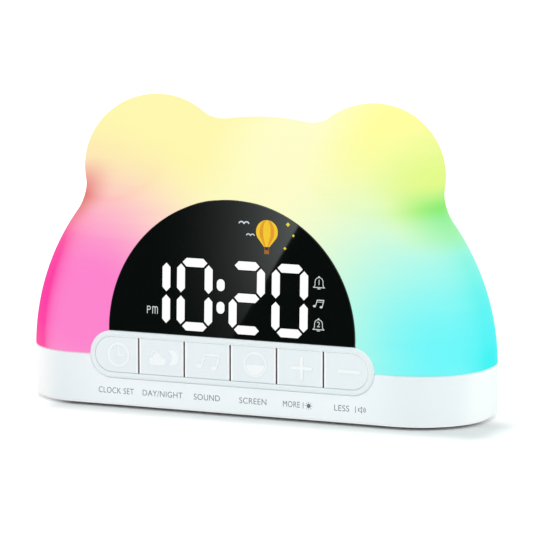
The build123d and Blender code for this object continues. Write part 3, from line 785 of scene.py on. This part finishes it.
def bellSign(x, y, size):
    # outline of a bell with its knob, its rim and its clapper
    side = [(-0.40, -0.30), (-0.33, -0.22), (-0.31, -0.08), (-0.31, 0.08)]
    dome = [tuple(point) for point in arc(0, 0.08, 0.31, 170, 10, 16)]
    path = side + dome + [(-px, py) for px, py in side[::-1]]
    groups = [
        stroke(path, 0.052),
        stroke([(-0.44, -0.33), (0, -0.33), (0.44, -0.33)], 0.058),
        disc(0, 0.43, 0.065, 16),
        stroke([(-0.10, -0.42), (0, -0.425), (0.10, -0.42)], 0.06),
    ]
    return placed(groups, x, y, size)


def speakerSign(x, y, size):
    # an open horn with two waves of sound
    foot = [(-0.45, -0.16), (-0.22, -0.16), (0.05, -0.42)]
    horn = np.array(foot + [(px, -py) for px, py in foot[::-1]])
    waves = [stroke(arc(0.02, 0, 0.26, -38, 38, 10), 0.08), stroke(arc(0.02, 0, 0.44, -40, 40, 12), 0.08)]
    return placed([[horn, horn * (0.66, 0.62) + (-0.06, 0)]] + waves, x, y, size)


# display: digits, signs and a small picture

display = {
    "digitHeight": 24.5,
    "digitWidth": 13.15,
    "digitRise": 12.8,
    "digitPitch": 15.65,
    "colonShift": -3.65,
    "colonPitch": 19.2,
    "colonStep": 7.6,
    "barWidth": 2.92,
    "barGap": 1.1,
    "edging": 0.28,          # unlit black round each bar
    "dotDrawn": 0.55,        # half of the straight length of the colon's dots
    "signShift": 32.1,       # bells and note
    "signStep": 7.15,
    "signRise": 12.6,
    "upperDrop": 0.3,
    "bellSize": 4.6,
    "noteSize": 3.8,
    "noteShift": -0.2,
    "numberHeight": 1.9,
    "numberRise": 0.1,
    "numberThin": 0.01,
    "halfPlace": (-30.8, 5.6),
    "halfSize": (0.86, 1.08),
    "proud": 0.02 * mm,
}


def barOutline(x, y, length, upright, grow=0.0):
    # a display bar with mitred ends
    half, tip = length / 2 + 1.4 * grow, display["barWidth"] / 2 + grow
    points = np.array([(-half, 0), (tip - half, -tip), (half - tip, -tip),
                       (half, 0), (half - tip, tip), (tip - half, tip)])
    if upright:
        points = points[:, ::-1]
    return [points + (x, y)]


def digitBars(x, lit, grow=0.0):
    # the bars of one digit by letter: a top, b c right, d foot, e f left, g middle
    d = display
    reach = (d["digitWidth"] - d["barWidth"]) / 2
    rise = (d["digitHeight"] - d["barWidth"]) / 2
    longBar = (d["digitHeight"] - d["barWidth"]) / 2 - d["barGap"]
    shortBar = d["digitWidth"] - d["barWidth"] - d["barGap"]
    level = {"a": (0, rise), "g": (0, 0), "d": (0, -rise)}
    upright = {
        "b": (reach, rise / 2), "c": (reach, -rise / 2),
        "f": (-reach, rise / 2), "e": (-reach, -rise / 2),
    }
    made = []
    for letter in lit:
        dx, dy = (upright if letter in upright else level)[letter]
        length = longBar if letter in upright else shortBar
        made.append(barOutline(x + dx, d["digitRise"] + dy, length, letter in upright, grow))
    return made


def tallDot(x, y, grow=0.0):
    # a dot drawn out upright, with half-round ends
    radius, drawn = display["barWidth"] / 2 + grow, display["dotDrawn"]
    top = arc(x, y + drawn, radius, 0, 180, 20)
    foot = arc(x, y - drawn, radius, 180, 360, 20)
    return [np.concatenate([top, foot])]


def shownBars(grow=0.0):
    d = display
    first = d["colonShift"] - d["colonPitch"] / 2
    last = d["colonShift"] + d["colonPitch"] / 2
    dots = [d["digitRise"] + side * d["colonStep"] / 2 for side in (-1, 1)]
    return {
        "Tens": digitBars(first - d["digitPitch"], "bc", grow),
        "Hours": digitBars(first, "abcdef", grow),
        "Colon": [tallDot(d["colonShift"], y, grow) for y in dots],
        "MinuteTens": digitBars(last, "abged", grow),
        "Minutes": digitBars(last + d["digitPitch"], "abcdef", grow),
    }


def makeDigits():
    d = display
    lit = [flatPiece("digit" + name, groups, d["proud"], onWindow(d["proud"]), "clock")
           for name, groups in shownBars().items()]
    dark = [flatPiece("surround" + name, groups, d["proud"], onWindow(0), "clock")
            for name, groups in shownBars(d["edging"]).items()]
    return lit, dark


def dayHalfStrokes():
    # two letters of one height: a stem with its bowl, and a stem with two arches
    stem = [(0, 0), (0, 1.05), (0, 2.1)]
    bowl = [(0, 2.1), (0.9, 2.1), (1.35, 1.85), (1.35, 1.35), (0.9, 1.1), (0, 1.1)]
    arch = np.array([(0, 1.6), (0.15, 1.95), (0.4, 2.1), (0.7, 2.1), (0.95, 1.95), (1.05, 1.6), (1.05, 0)])
    runs = [stem, bowl, np.array(stem) + (2.3, 0), arch + (2.3, 0), arch + (3.35, 0)]
    return [stroke(run, 0.28) for run in runs]


def makeSigns():
    # two numbered bells with a note between, and the half of the day
    d = display
    x, rise = d["signShift"], d["signRise"]
    upper, lower = rise + d["signStep"] - d["upperDrop"], rise - d["signStep"]
    drawn = {
        "bellUpper": bellSign(x, upper, d["bellSize"]),
        "bellLower": bellSign(x, lower, d["bellSize"]),
        "tuneSign": noteSign(x + d["noteShift"], rise, d["noteSize"]),
    }
    made = [flatPiece(name, groups, d["proud"], onWindow(0), "clock")
            for name, groups in drawn.items()]
    for name, word, y in (("numberUpper", "1", upper), ("numberLower", "2", lower)):
        made.append(lettering(name, word, d["numberHeight"], (x, y + d["numberRise"]), d["proud"],
                              onWindow(0), d["numberThin"]))
    letters = placed(dayHalfStrokes(), *d["halfPlace"], d["halfSize"])
    made.append(flatPiece("halfOfDay", letters, d["proud"], onWindow(0), "clock"))
    return made


picture = {
    "balloon": (13.0, 34.3, 0.86),     # place and scale on the window
    "birds": ((4.6, 37.4, 1.0), (7.0, 33.6, 0.8)),
    "sparks": ((20.6, 38.2, 0.75), (22.6, 34.6, 0.5), (19.6, 30.2, 0.55)),
}


def envelopeOutline(across):
    # round above, drawn in to a mouth below, narrowed for the inner gores
    crown = arc(0, 1.2, 4.6, -32, 212, 40)
    edge = np.concatenate([crown, [(-1.15, -4.6), (1.15, -4.6)]])
    return [edge * (across, 1)]


def makePicture():
    # a striped balloon among small birds and sparks
    p = picture
    x, y, size = p["balloon"]
    lift = display["proud"]

    def plate(name, groups, layer):
        return flatPiece(name, groups, lift, onWindow(layer * lift), "clock")

    basket = [bar(0, -6.6, 2.0, 1.5), stroke([(-0.9, -4.7), (-0.85, -5.3), (-0.8, -5.9)], 0.22),
              stroke([(0.9, -4.7), (0.85, -5.3), (0.8, -5.9)], 0.22)]
    gold = plate("balloonGold", placed([envelopeOutline(1.0)], x, y, size), 0)
    amber = plate("balloonAmber", placed([envelopeOutline(0.68)], x, y, size), 1)
    inner = plate("balloonInner", placed([envelopeOutline(0.34)], x, y, size), 2)
    brown = plate("balloonBasket", placed(basket, x, y, size), 0)
    wings = np.concatenate([arc(-0.95, 0, 0.95, 150, 20, 12), arc(0.95, 0, 0.95, 160, 30, 12)])
    birds = [group for place in p["birds"] for group in placed([stroke(wings, 0.42)], *place)]
    paleBirds = plate("birds", birds, 0)
    diamond = [np.array([(-1, 0), (0, -1), (1, 0), (0, 1)])]
    sparks = [group for place in p["sparks"] for group in placed([diamond], *place)]
    yellowSparks = plate("sparks", sparks, 0)
    return gold, amber, inner, brown, paleBirds, yellowSparks


def litFinish(name, tint, other, strength):
    # light through a printed film, a little uneven
    made = Finish(name, roughness=0.5, specularIorLevel=0.0, emissionStrength=strength)
    cloud = made.noise(0.0012, 2.0)
    made.set("baseColor", (0.02, 0.02, 0.02, 1))
    made.set("emissionColor", made.mix(cloud, linear(tint), linear(other)))
    return made


def darkFilm():
    made = Finish("darkFilm", specularIorLevel=0.0)
    cloud = made.noise(0.004, 2.0)
    made.set("baseColor", made.mix(cloud, linear("050708"), linear("080A0B")))
    made.set("roughness", 0.8 + 0.1 * cloud)
    return made


def windowFinish():
    # near-black gloss, with the faintest orange-peel
    made = Finish("windowGloss", specularIorLevel=0.5)
    cloud = made.noise(0.02, 2.0)
    made.set("baseColor", made.mix(cloud, linear("080C0B"), linear("0A0F0D")))
    made.set("roughness", 0.02 + 0.02 * cloud)
    return made


litDigits, darkEdging = makeDigits()
paint(litFinish("whiteLight", "FAFBFB", "FFFFFF", 1.0), *litDigits)
paint(darkFilm(), *darkEdging)
paint(litFinish("signLight", "D8DEDE", "E6EAEA", 0.9), *makeSigns())
gold, amber, inner, brown, paleBirds, yellowSparks = makePicture()
paint(litFinish("goldLight", "F2C21B", "FBD42A", 0.95), gold, inner)
paint(litFinish("amberLight", "E89A1C", "F0A820", 0.9), amber)
paint(litFinish("brownLight", "A8661C", "B87424", 0.8), brown)
paint(litFinish("paleLight", "CFDEE8", "E4EEF4", 0.9), paleBirds)
paint(litFinish("yellowLight", "E8D820", "F4E640", 0.9), yellowSparks)
paint(windowFinish(), "display_window")
print("display made")


# what the glossy window mirrors: a card with a soft panel of light that ends on a slant

card = {
    "away": 170 * mm,                     # in front of the window
    "reach": (-62.0, 62.0, -16.0, 62.0),  # the part of the window that it covers, in millimetres
    "slantFoot": (4.4, 5.1),              # two points of the slanting edge as mirrored in the window
    "slantHead": (24.9, 38.9),
    "strength": 2.0,
    "rampStart": -36.0,                   # the light grows from here
    "rampLength": 57.5,
    "softness": 0.35,
    "fade": (-2.0, 28.0),
    "footShare": 0.4,                     # of the light that is left at the foot
}


def makeCard():
    # each corner is where the mirrored line of sight through a point of the window meets the card's plane
    c = card
    face = onWindow(0)
    eye = face.inverted() @ cameraPlace()
    scale = 1 + c["away"] / eye.z
    left, right, low, high = c["reach"]
    corners = [(left, low), (right, low), (right, high), (left, high)]
    points = []
    for u, v in corners:
        mirrored = Vector((eye.x + (u * mm - eye.x) * scale, eye.y + (v * mm - eye.y) * scale, c["away"]))
        points.append(tuple(face @ mirrored))
    mesh = bpy.data.meshes.new("reflectedCard")
    mesh.from_pydata(points, [], [(0, 1, 2, 3)])
    spread("acrossWindow", [u for u, v in corners], mesh)
    spread("upWindow", [v for u, v in corners], mesh)
    sheet = bpy.data.objects.new("reflectedCard", mesh)
    scene.collection.objects.link(sheet)
    sheet.visible_camera = False
    sheet.visible_diffuse = False
    sheet.visible_shadow = False
    sheet.visible_transmission = False
    return sheet


def cardFinish():
    # brightness grows with the cube of the way across, up to the slanting edge, and fades downwards
    c = card
    made = Finish("cardLight", roughness=1.0, specularIorLevel=0.0, emissionStrength=1.0)
    u, v = made.attribute("acrossWindow"), made.attribute("upWindow")
    (footX, footY), (headX, headY) = c["slantFoot"], c["slantHead"]
    lean = (headX - footX) / (headY - footY)
    beyond = u - footX - lean * (v - footY)
    way = ((u - c["rampStart"]) / c["rampLength"]).worked("maximum", 0.0)
    faded = c["footShare"] + (1 - c["footShare"]) * v.between(*c["fade"])
    light = way * way * way * beyond.between(c["softness"], -c["softness"]) * faded * c["strength"]
    made.set("baseColor", (0, 0, 0, 1))
    return made.set("emissionColor", made.scaled(linear("F6FFFD")[:3], light))


paint(cardFinish(), makeCard())
print("card made")


# white mouldings: case, bezel and keys with their raised signs

casePaintedLight = {                   # where each painted light or shade starts and where it is full, in millimetres
    "corners": (42.0, 70.0, "E2EAEC"),
    "leftEnd": (-62.0, -80.0, "FAFBFA"),
    "rightEnd": (77.0, 82.5, "EBF0F0"),
    # painted highlight along the lower edge of the case
    "foot": (1.75, 1.35, "FFFFFF"),
}


def caseFinish():
    # white moulded plastic with painted light and shade: a little darker in the front's corners, brighter
    # towards both ends, and a painted highlight along the foot
    c = casePaintedLight
    made = Finish("whiteCase", specularIorLevel=0.35)
    cloud = addGrain(made, 0.40)
    x, y, z = made.axes()
    face = made.mix(cloud, linear("F1F7F9"), linear("EDF4F6"))
    shades = ((abs(x), c["corners"]), (x, c["leftEnd"]), (x, c["rightEnd"]), (z, c["foot"]))
    for along, (start, full, tint) in shades:
        face = made.mix(along.between(start, full), face, linear(tint))
    return made.set("baseColor", face)


whiteCase = caseFinish()
whiteBezel = mouldedPlastic("whiteBezel", "E6EFF1", "E2EBED", 0.36, specularIorLevel=0.35)
paint(whiteCase, "base_housing", "bottom_cover", "battery_door")
paint(whiteBezel, "key_bezel")

keyNames = ("clock", "lamp", "music", "dimmer", "plus", "minus")

keyRow = {
    "front": -27.2,          # of the keys, in millimetres like the rest
    "middle": 18.4,          # height above the floor
    "pitch": 17.0,
    "slitReach": (40.0, 36.0),       # only the slits between keys are marked, not the ends of the row
    # painted highlight beside each slit, then painted shade on the slit walls
    "lightShift": 0.15,
    "lightEdge": (1.0, 0.7),
    "wallEdge": (0.38, 0.33),
    "wallDepth": (0.5, 0.8),
}


def keyFinish():
    # white moulded plastic, with a painted highlight along the upright edge of each key beside a slit and
    # painted shade on the slits' walls, darker further in
    k = keyRow
    made = Finish("whiteKey", specularIorLevel=0.35)
    cloud = addGrain(made, 0.36)
    x, y, z = made.axes()

    def fromSlit(shift):
        # distance to the nearest slit; ten pitches more keep the number positive
        return abs(((x - shift) / k["pitch"] + 10.5).worked("fract") - 0.5) * k["pitch"]

    inRow = abs(x).between(*k["slitReach"])
    # painted highlight right of each slit, and painted shade on the slit walls that deepens away from the
    # front
    beside = fromSlit(k["lightShift"]).between(*k["lightEdge"]) * inRow
    within = fromSlit(0.0).between(*k["wallEdge"]) * inRow
    wall = made.mix((y - k["front"]).between(*k["wallDepth"]), linear("FFFFFF"), linear("7A8284"))
    face = made.mix(cloud, linear("E8F0F3"), linear("E4ECEF"))
    face = made.mix(beside, face, linear("FFFFFF"))
    return made.set("baseColor", made.mix(within, face, wall))


paint(keyFinish(), *["key_" + name for name in keyNames])

keyGap = {
    "depth": -27.05 * mm,    # just behind the keys' front
    "halfLength": 50.49,     # round the row of keys
    "halfHeight": 6.29,
    "width": 0.17,
    "thickness": 0.1 * mm,
    "paintedFootShade": (13.5, 16.0),
}


def slotOutline(halfLength, halfHeight, middle):
    # straight above and below, with half-round ends
    right = arc(halfLength - halfHeight, middle, halfHeight, -90, 90, 32)
    left = arc(halfHeight - halfLength, middle, halfHeight, 90, 270, 32)
    return np.concatenate([right, left])


def makeKeyGap():
    # painted light: a pale lip in the gap between the row of keys and their bezel, so that the gap's shade
    # shows pale
    k = keyGap
    outlines = [slotOutline(k["halfLength"] - inset, k["halfHeight"] - inset, keyRow["middle"])
                for inset in (0, k["width"])]
    place = onFront(k["depth"], 0)
    return flatPiece("keyGapLip", [outlines], k["thickness"], place, "clock")


def lipFinish():
    # painted shade greyer along the foot of the row, and painted white light above it
    made = Finish("lipPlastic", specularIorLevel=0.2)
    cloud = addGrain(made, 0.5)
    x, y, z = made.axes()
    paintedFootShade = made.mix(cloud, linear("E8EEF0"), linear("E2EAEC"))
    return made.set("baseColor", made.mix(z.between(*keyGap["paintedFootShade"]), paintedFootShade, linear("FFFFFF")))


paint(lipFinish(), makeKeyGap())

keySigns = {
    "rise": 0.18 * mm,
    "bevel": 0.05 * mm,
    "step": 0.004 * mm,      # so that no two overlapping faces share a plane
    "shifts": {"clock": 1.15, "lamp": 0.0, "music": 0.3, "dimmer": 0.85, "plus": 0.8, "minus": 0.9},
    "ringWidth": 0.72,
    "handWidth": 0.62,
    "rayWidth": 0.4,
    "noteSize": (8.4, 7.4),
}


def crossOutline(reach, half):
    # one corner's three points, turned round the middle four times
    corner = [(half, reach), (half, half), (reach, half)]
    turned = [corner]
    for quarter in range(3):
        turned.append([(y, -x) for x, y in turned[-1]])
    return [np.array([point for run in turned for point in run])]


def clockSign():
    hands = [stroke([(0, 0), (0, 1.2), (0, 2.4)], keySigns["handWidth"]),
             stroke([(0, 0), (1.1, 0), (2.1, 0)], keySigns["handWidth"])]
    return [ring(0, 0, 3.75, keySigns["ringWidth"])] + hands


def daySign():
    # sun half behind a cloud, then a crescent
    centre = np.array([-2.45, 0.75])
    groups = [ring(*centre, 1.25, 0.42)]
    for turn in range(60, 260, 40):
        way = np.array([math.cos(math.radians(turn)), math.sin(math.radians(turn))])
        groups.append(stroke([centre + reach * way for reach in (1.95, 2.2, 2.45)], keySigns["rayWidth"]))
    groups += cloudSign(-1.3, -0.75, 6.6)
    groups += crescentSign(4.8, 0.2, 5.2)
    groups += [disc(2.6, 1.5, 0.28, 12), disc(3.3, -0.2, 0.24, 12)]
    return groups


def dimmerSign():
    # a ring with its lower half filled
    return [ring(0, 0, 3.9, keySigns["ringWidth"]), [arc(0, 0, 3.5, 180, 360, 40)]]


def makeKeySigns():
    k = keySigns
    drawn = {
        "clock": clockSign(),
        "lamp": daySign(),
        "music": noteSign(0, 0, k["noteSize"]),
        "dimmer": dimmerSign(),
        "plus": [crossOutline(3.9, 0.6)],
        "minus": [bar(0, 0, 8.0, 1.15)],
    }
    made = []
    for index, name in enumerate(keyNames):
        x = (index - 2.5) * keyRow["pitch"] + k["shifts"][name]
        groups = placed(drawn[name], x, keyRow["middle"], 1.0)
        place = onFront(keyRow["front"] * mm, 0)
        made.append(flatPiece("sign_" + name, groups, k["rise"], place, name + "_key",
                              k["bevel"], k["step"]))
    return made


whiteSign = mouldedPlastic("whiteSign", "F4F8F9", "EEF4F5", 0.34, specularIorLevel=0.35)
paint(whiteSign, *makeKeySigns())
print("keys made")


# printed words under the keys

labels = {
    "front": -26.9 * mm,
    "proud": 0.015 * mm,
    "height": 2.1,
    "rise": 5.85,
    "thin": 0.012,
    "spacing": 1.05,
    "words": (               # middle and narrowing of each
        ("CLOCK SET", -42.6, 0.86),
        ("DAY/NIGHT", -25.2, 0.94),
        ("SOUND", -8.6, 0.95),
        ("SCREEN", 8.4, 0.97),
        ("MORE", 22.4, 0.80),
        ("LESS", 40.6, 1.0),
    ),
    "sun": (28.7, 2.6),      # middle and size
    "speaker": (47.8, 2.9),
    "bars": (26.7, 45.6),
    "barWidth": 0.2,
}


def makeLabels():
    m = labels
    made = []
    for word, x, narrow in m["words"]:
        place = onFront(m["front"], m["rise"] * mm) @ Matrix.Translation((x * mm, 0, 0))
        name = "label" + word.title().replace(" ", "").replace("/", "")
        made.append(lettering(name, word, m["height"], (0, 0), m["proud"], place,
                              m["thin"], m["spacing"], narrow))
    (sunX, sunSize), (speakerX, speakerSize) = m["sun"], m["speaker"]
    signs = sunSign(sunX, m["rise"], sunSize) + speakerSign(speakerX, m["rise"], speakerSize)
    signs += [bar(x, m["rise"], m["barWidth"], m["height"]) for x in m["bars"]]
    place = onFront(m["front"], 0)
    made.append(flatPiece("labelSigns", signs, m["proud"], place, "clock"))
    return made


def inkFinish():
    made = Finish("greyInk", specularIorLevel=0.2)
    cloud = made.noise(0.0006, 2.0)
    made.set("baseColor", made.mix(cloud, linear("5E6C72"), linear("6A787E")))
    made.set("roughness", 0.6 + 0.1 * cloud)
    return made


paint(inkFinish(), *makeLabels())
print("labels made")


# screws in the bottom: pan heads with a cross recess, and their threads

caseScrew = {
    "places": [(sx * 72.0, sy * 9.0) for sx in (-1, 1) for sy in (-1, 1)],
    "seat": 2.4 * mm,
    "headRadius": 2.28 * mm,
    "headHeight": 1.24 * mm,
    "radius": 1.18 * mm,
    "length": 5.3 * mm,
    "pitch": 0.9 * mm,
    "threadDepth": 0.22 * mm,
    "recess": 0.7 * mm,
    "barHalf": 0.34 * mm,        # of the crossed bars of the recess, and how steeply their walls sink
    "barReach": 1.3 * mm,
    "barWall": 0.12 * mm,
    "barEnd": 0.15 * mm,
    "taper": 1.2 * mm,
    "turns": 96,
}


def screwSurface():
    # rings from the middle of the head down to the tip; the radius of a thread ring is less by the depth
    # times a triangle wave of turn / full circle + height / pitch, and the recess sinks where two bars cross
    c = caseScrew
    turn = np.linspace(0, 2 * math.pi, c["turns"], endpoint=False)[None, :]
    share = np.linspace(0, 1, 34)[:, None]
    headReach = 0.99 * c["headRadius"] * share
    domed = c["headHeight"] * (1 - 0.5 * share ** 6)
    across, along = headReach * np.cos(turn), headReach * np.sin(turn)
    thin = np.minimum(np.abs(across), np.abs(along))
    long = np.maximum(np.abs(across), np.abs(along))
    inBar = np.clip((c["barHalf"] - thin) / c["barWall"], 0, 1)
    inBar *= np.clip((c["barReach"] - long) / c["barEnd"], 0, 1)
    headTop = domed - c["recess"] * inBar * (1 - 0.35 * long / c["barReach"])
    sideRadius = np.array([1.0, 1.0, 0.98, 0.5])[:, None] * c["headRadius"] + 0 * turn
    sideHeight = np.array([0.4, 0.06, 0.0, 0.0])[:, None] * c["headHeight"] + 0 * turn
    drop = np.linspace(0, c["length"], 72)[:, None]
    phase = (turn / (2 * math.pi) + drop / c["pitch"]) % 1
    wave = np.abs(2 * phase - 1)
    taper = np.clip((c["length"] - drop) / c["taper"], 0.12, 1)
    threadRadius = (c["radius"] - c["threadDepth"] * wave) * taper
    radius = np.concatenate([headReach + 0 * turn, sideRadius, threadRadius])
    height = np.concatenate([headTop, sideHeight, -drop + 0 * turn])
    return np.stack([radius * np.cos(turn), radius * np.sin(turn), height], -1)


def makeCaseScrews():
    c = caseScrew
    surface = screwSurface()
    rows, columns = surface.shape[:2]
    row, column = np.meshgrid(np.arange(rows - 1), np.arange(columns), indexing="ij")
    ahead = (column + 1) % columns
    quads = np.stack([row * columns + column, (row + 1) * columns + column,
                      (row + 1) * columns + ahead, row * columns + ahead], -1).reshape(-1, 4)
    points, faces = [], []
    for number, (x, y) in enumerate(c["places"]):
        turned = surface.reshape(-1, 3) * np.array([1, -1, -1])
        points.append(turned + np.array([x * mm, y * mm, c["seat"]]))
        faces.append(quads + number * rows * columns)
    mesh = meshFrom("screwMetal", np.concatenate(points), np.concatenate(faces).tolist())
    mesh.validate()
    mesh.set_sharp_from_angle(angle=math.radians(35))
    piece = pieceFrom(mesh, "clock")
    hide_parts("case_screws")
    return piece


# grip and arrow on the battery door

doorGrip = {
    "face": 1.0 * mm,
    "rise": 0.16 * mm,
    "bevel": 0.05 * mm,
    "ribs": 6,
    "firstRib": 12.0,
    "ribStep": 1.8,
    "ribWidth": 0.8,
    "ribLength": 16.0,
    "shortening": 0.8,
}


def makeDoorGrip():
    d = doorGrip
    ribs = [bar(0, d["firstRib"] + n * d["ribStep"], d["ribLength"] - d["shortening"] * n, d["ribWidth"])
            for n in range(d["ribs"])]
    arrow = [np.array([(-3.2, 6.0), (3.2, 6.0), (0, 9.4)])]
    place = Matrix.Translation((0, 0, d["face"])) @ Matrix.Rotation(math.pi, 4, "Y")
    return flatPiece("doorGrip", ribs + [arrow], d["rise"], place, "battery_door", d["bevel"])


# finishes of everything inside and underneath

innerLooks = {                   # in millimetres
    "trackSteps": (1.7, 2.3),    # from one copper track to the next, each way
    "padStep": 2.54,
    "copperBand": (8.9, 9.3),    # from the middle of a cell
    "bareEnds": (21.3, 21.5),
    "coneMiddle": (-45.35, 2.4),
}


def metalFinish(name, tint, other, rough):
    made = Finish(name, metallic=1.0)
    cloud = made.noise(0.004, 3.0, 0.6)
    fine = made.noise(0.0002, 2.0, 0.6)
    made.set("baseColor", made.mix(cloud, linear(tint), linear(other)))
    made.set("roughness", rough + 0.12 * (fine - 0.5) + 0.08 * (cloud - 0.5))
    made.set("normal", made.bump(fine, 0.3, 0.000004))
    return made


def boardFinish(name, upAxis):
    # green lacquer over copper tracks, with rows of tinned pads
    made = Finish(name, specularIorLevel=0.5)
    places = made.axes()
    u, v = places[0], places[upAxis]
    cloud = made.noise(0.005, 2.0)

    def across(along, step):
        # place within a step, from -0.5 to 0.5; forty steps more keep the number positive
        return (along / step + 40.0).worked("fract") - 0.5

    laneStep, rowStep = innerLooks["trackSteps"]
    lane = abs(across(u, laneStep)).between(0.2, 0.14)
    row = abs(across(v, rowStep)).between(0.2, 0.14)
    tracks = lane * cloud.between(0.50, 0.53) + row * cloud.between(0.50, 0.47)
    padX, padY = across(u, innerLooks["padStep"]), across(v, innerLooks["padStep"])
    pads = (padX * padX + padY * padY).worked("sqrt").between(0.2, 0.16)
    pads = pads * made.noise(0.009, 1.0).between(0.56, 0.60)
    lacquer = made.mix(tracks.worked("minimum", 1.0), linear("1C6238"), linear("2E8A52"))
    made.set("baseColor", made.mix(pads, lacquer, linear("C9CCC8")))
    made.set("metallic", pads * 0.9)
    made.set("roughness", 0.32 + 0.08 * cloud)
    return made


def cellFinish():
    # printed sleeve: dark body, a copper band at the positive end, bare steel at both ends
    made = Finish("cellSleeve", specularIorLevel=0.5)
    x, y, z = made.axes()
    cloud = made.noise(0.003, 3.0)
    bare = abs(x).between(*innerLooks["bareEnds"])
    sleeve = made.mix(x.between(*innerLooks["copperBand"]), linear("23333B"), linear("C07A34"))
    sleeve = made.mix(bare, sleeve, linear("C6C8C8"))
    made.set("baseColor", made.mix(cloud * 0.12, sleeve, linear("101416")))
    made.set("metallic", 0.35 + 0.6 * bare)
    made.set("roughness", 0.30 + 0.10 * cloud)
    return made


def coneFinish():
    # pressed paper with rings round its middle
    made = Finish("conePaper", specularIorLevel=0.2)
    x, y, z = made.axes()
    aside, back = x - innerLooks["coneMiddle"][0], y - innerLooks["coneMiddle"][1]
    reach = (aside * aside + back * back).worked("sqrt")
    rings = (reach * 1.9).worked("sine")
    fibre = made.noise(0.0006, 4.0, 0.7)
    made.set("baseColor", made.mix(fibre, linear("26282A"), linear("3A3C3E")))
    made.set("roughness", 0.78 + 0.12 * fibre)
    made.set("normal", made.bump(rings + 0.5 * fibre, 0.4, 0.0001))
    return made


def foamFinish():
    made = Finish("speakerFoam", specularIorLevel=0.1)
    cells = made.node("TexVoronoi", {"feature": "F1"}, {"Vector": made.objectPlace(), "Scale": 2500.0})
    made.set("baseColor", made.mix(cells, linear("1E1F20"), linear("3C3E40")))
    made.set("roughness", 0.85 + 0.1 * cells)
    made.set("normal", made.bump(cells, 0.5, 0.0001))
    return made


def diodeFinish(name):
    # white packages with yellow phosphor in the middle of their faces
    made = Finish(name, specularIorLevel=0.4)
    cloud = made.noise(0.0007, 1.0)
    made.set("baseColor", made.mix(cloud.between(0.45, 0.55), linear("F2F0E6"), linear("EBD98A")))
    made.set("roughness", 0.35 + 0.1 * cloud)
    return made


steel = metalFinish("screwSteel", "BFC1C2", "A4A7A9", 0.30)
paint(steel, makeCaseScrews())
paint(steel, "display_screws", "key_board_screws", "main_board_screws", "lamp_board_screws")
paint(whiteCase, makeDoorGrip())

softPlastics = {             # tint, shadow, roughness, grain and its rise, pieces
    "feetRubber": ("B9BEC0", "A9AFB1", 0.72, 0.0006, 0.00003, ["rubber_feet"]),
    "gasketRubber": ("17191A", "202223", 0.72, 0.0006, 0.00002, ["window_gasket"]),
}
hardPlastics = {
    "filmSheet": ("0C0E0F", "141617", 0.5, 0.0006, 0.000004, ["segment_film"]),
    "reflectorPlastic": ("F0F1EF", "E6E8E6", 0.45, 0.00025, 0.000008, ["segment_reflector"]),
    "innerPlastic": ("DADFE0", "CFD5D7", 0.5, 0.00025, 0.000008, ["display_bracket"]),
    "switchPlastic": ("1B1C1E", "26282A", 0.45, 0.00025, 0.000008, ["switch_cases"]),
    "stemPlastic": ("3A3D40", "2E3134", 0.42, 0.00025, 0.000008, ["stem_" + name for name in keyNames]),
    "chipEpoxy": ("141516", "202122", 0.55, 0.0002, 0.00001, ["sound_chip", "control_chip"]),
}
metals = {                   # tint, shadow, roughness, pieces
    "contactNickel": ("C9C4B6", "B3AE9F", 0.26, ["contact_plates", "contact_springs"]),
    "socketSteel": ("C2C4C6", "A8ABAE", 0.28, ["usb_socket"]),
    "speakerSteel": ("A9ACAD", "8E9192", 0.38, ["speaker_frame", "speaker_magnet"]),
    "crystalCan": ("D0D1D0", "B9BBBA", 0.22, ["clock_crystal"]),
    "capacitorCan": ("B8BCBE", "9DA1A3", 0.30, ["backup_capacitor"]),
}
for name, (*finish, pieces) in softPlastics.items():
    paint(mouldedPlastic(name, *finish, specularIorLevel=0.2), *pieces)
for name, (*finish, pieces) in hardPlastics.items():
    paint(mouldedPlastic(name, *finish), *pieces)
for name, (*finish, pieces) in metals.items():
    paint(metalFinish(name, *finish), *pieces)
for board, upAxis in (("display_board", 2), ("key_board", 2), ("main_board", 1), ("lamp_board", 1)):
    paint(boardFinish(board + "Lacquer", upAxis), board)
paint(diodeFinish("displayDiodes"), "display_diodes")
paint(diodeFinish("lampDiodes"), "lamps")
paint(cellFinish(), *["battery_cell_" + number for number in "123"])
paint(coneFinish(), "speaker_cone")
paint(foamFinish(), "speaker_foam")
print("inner parts painted")
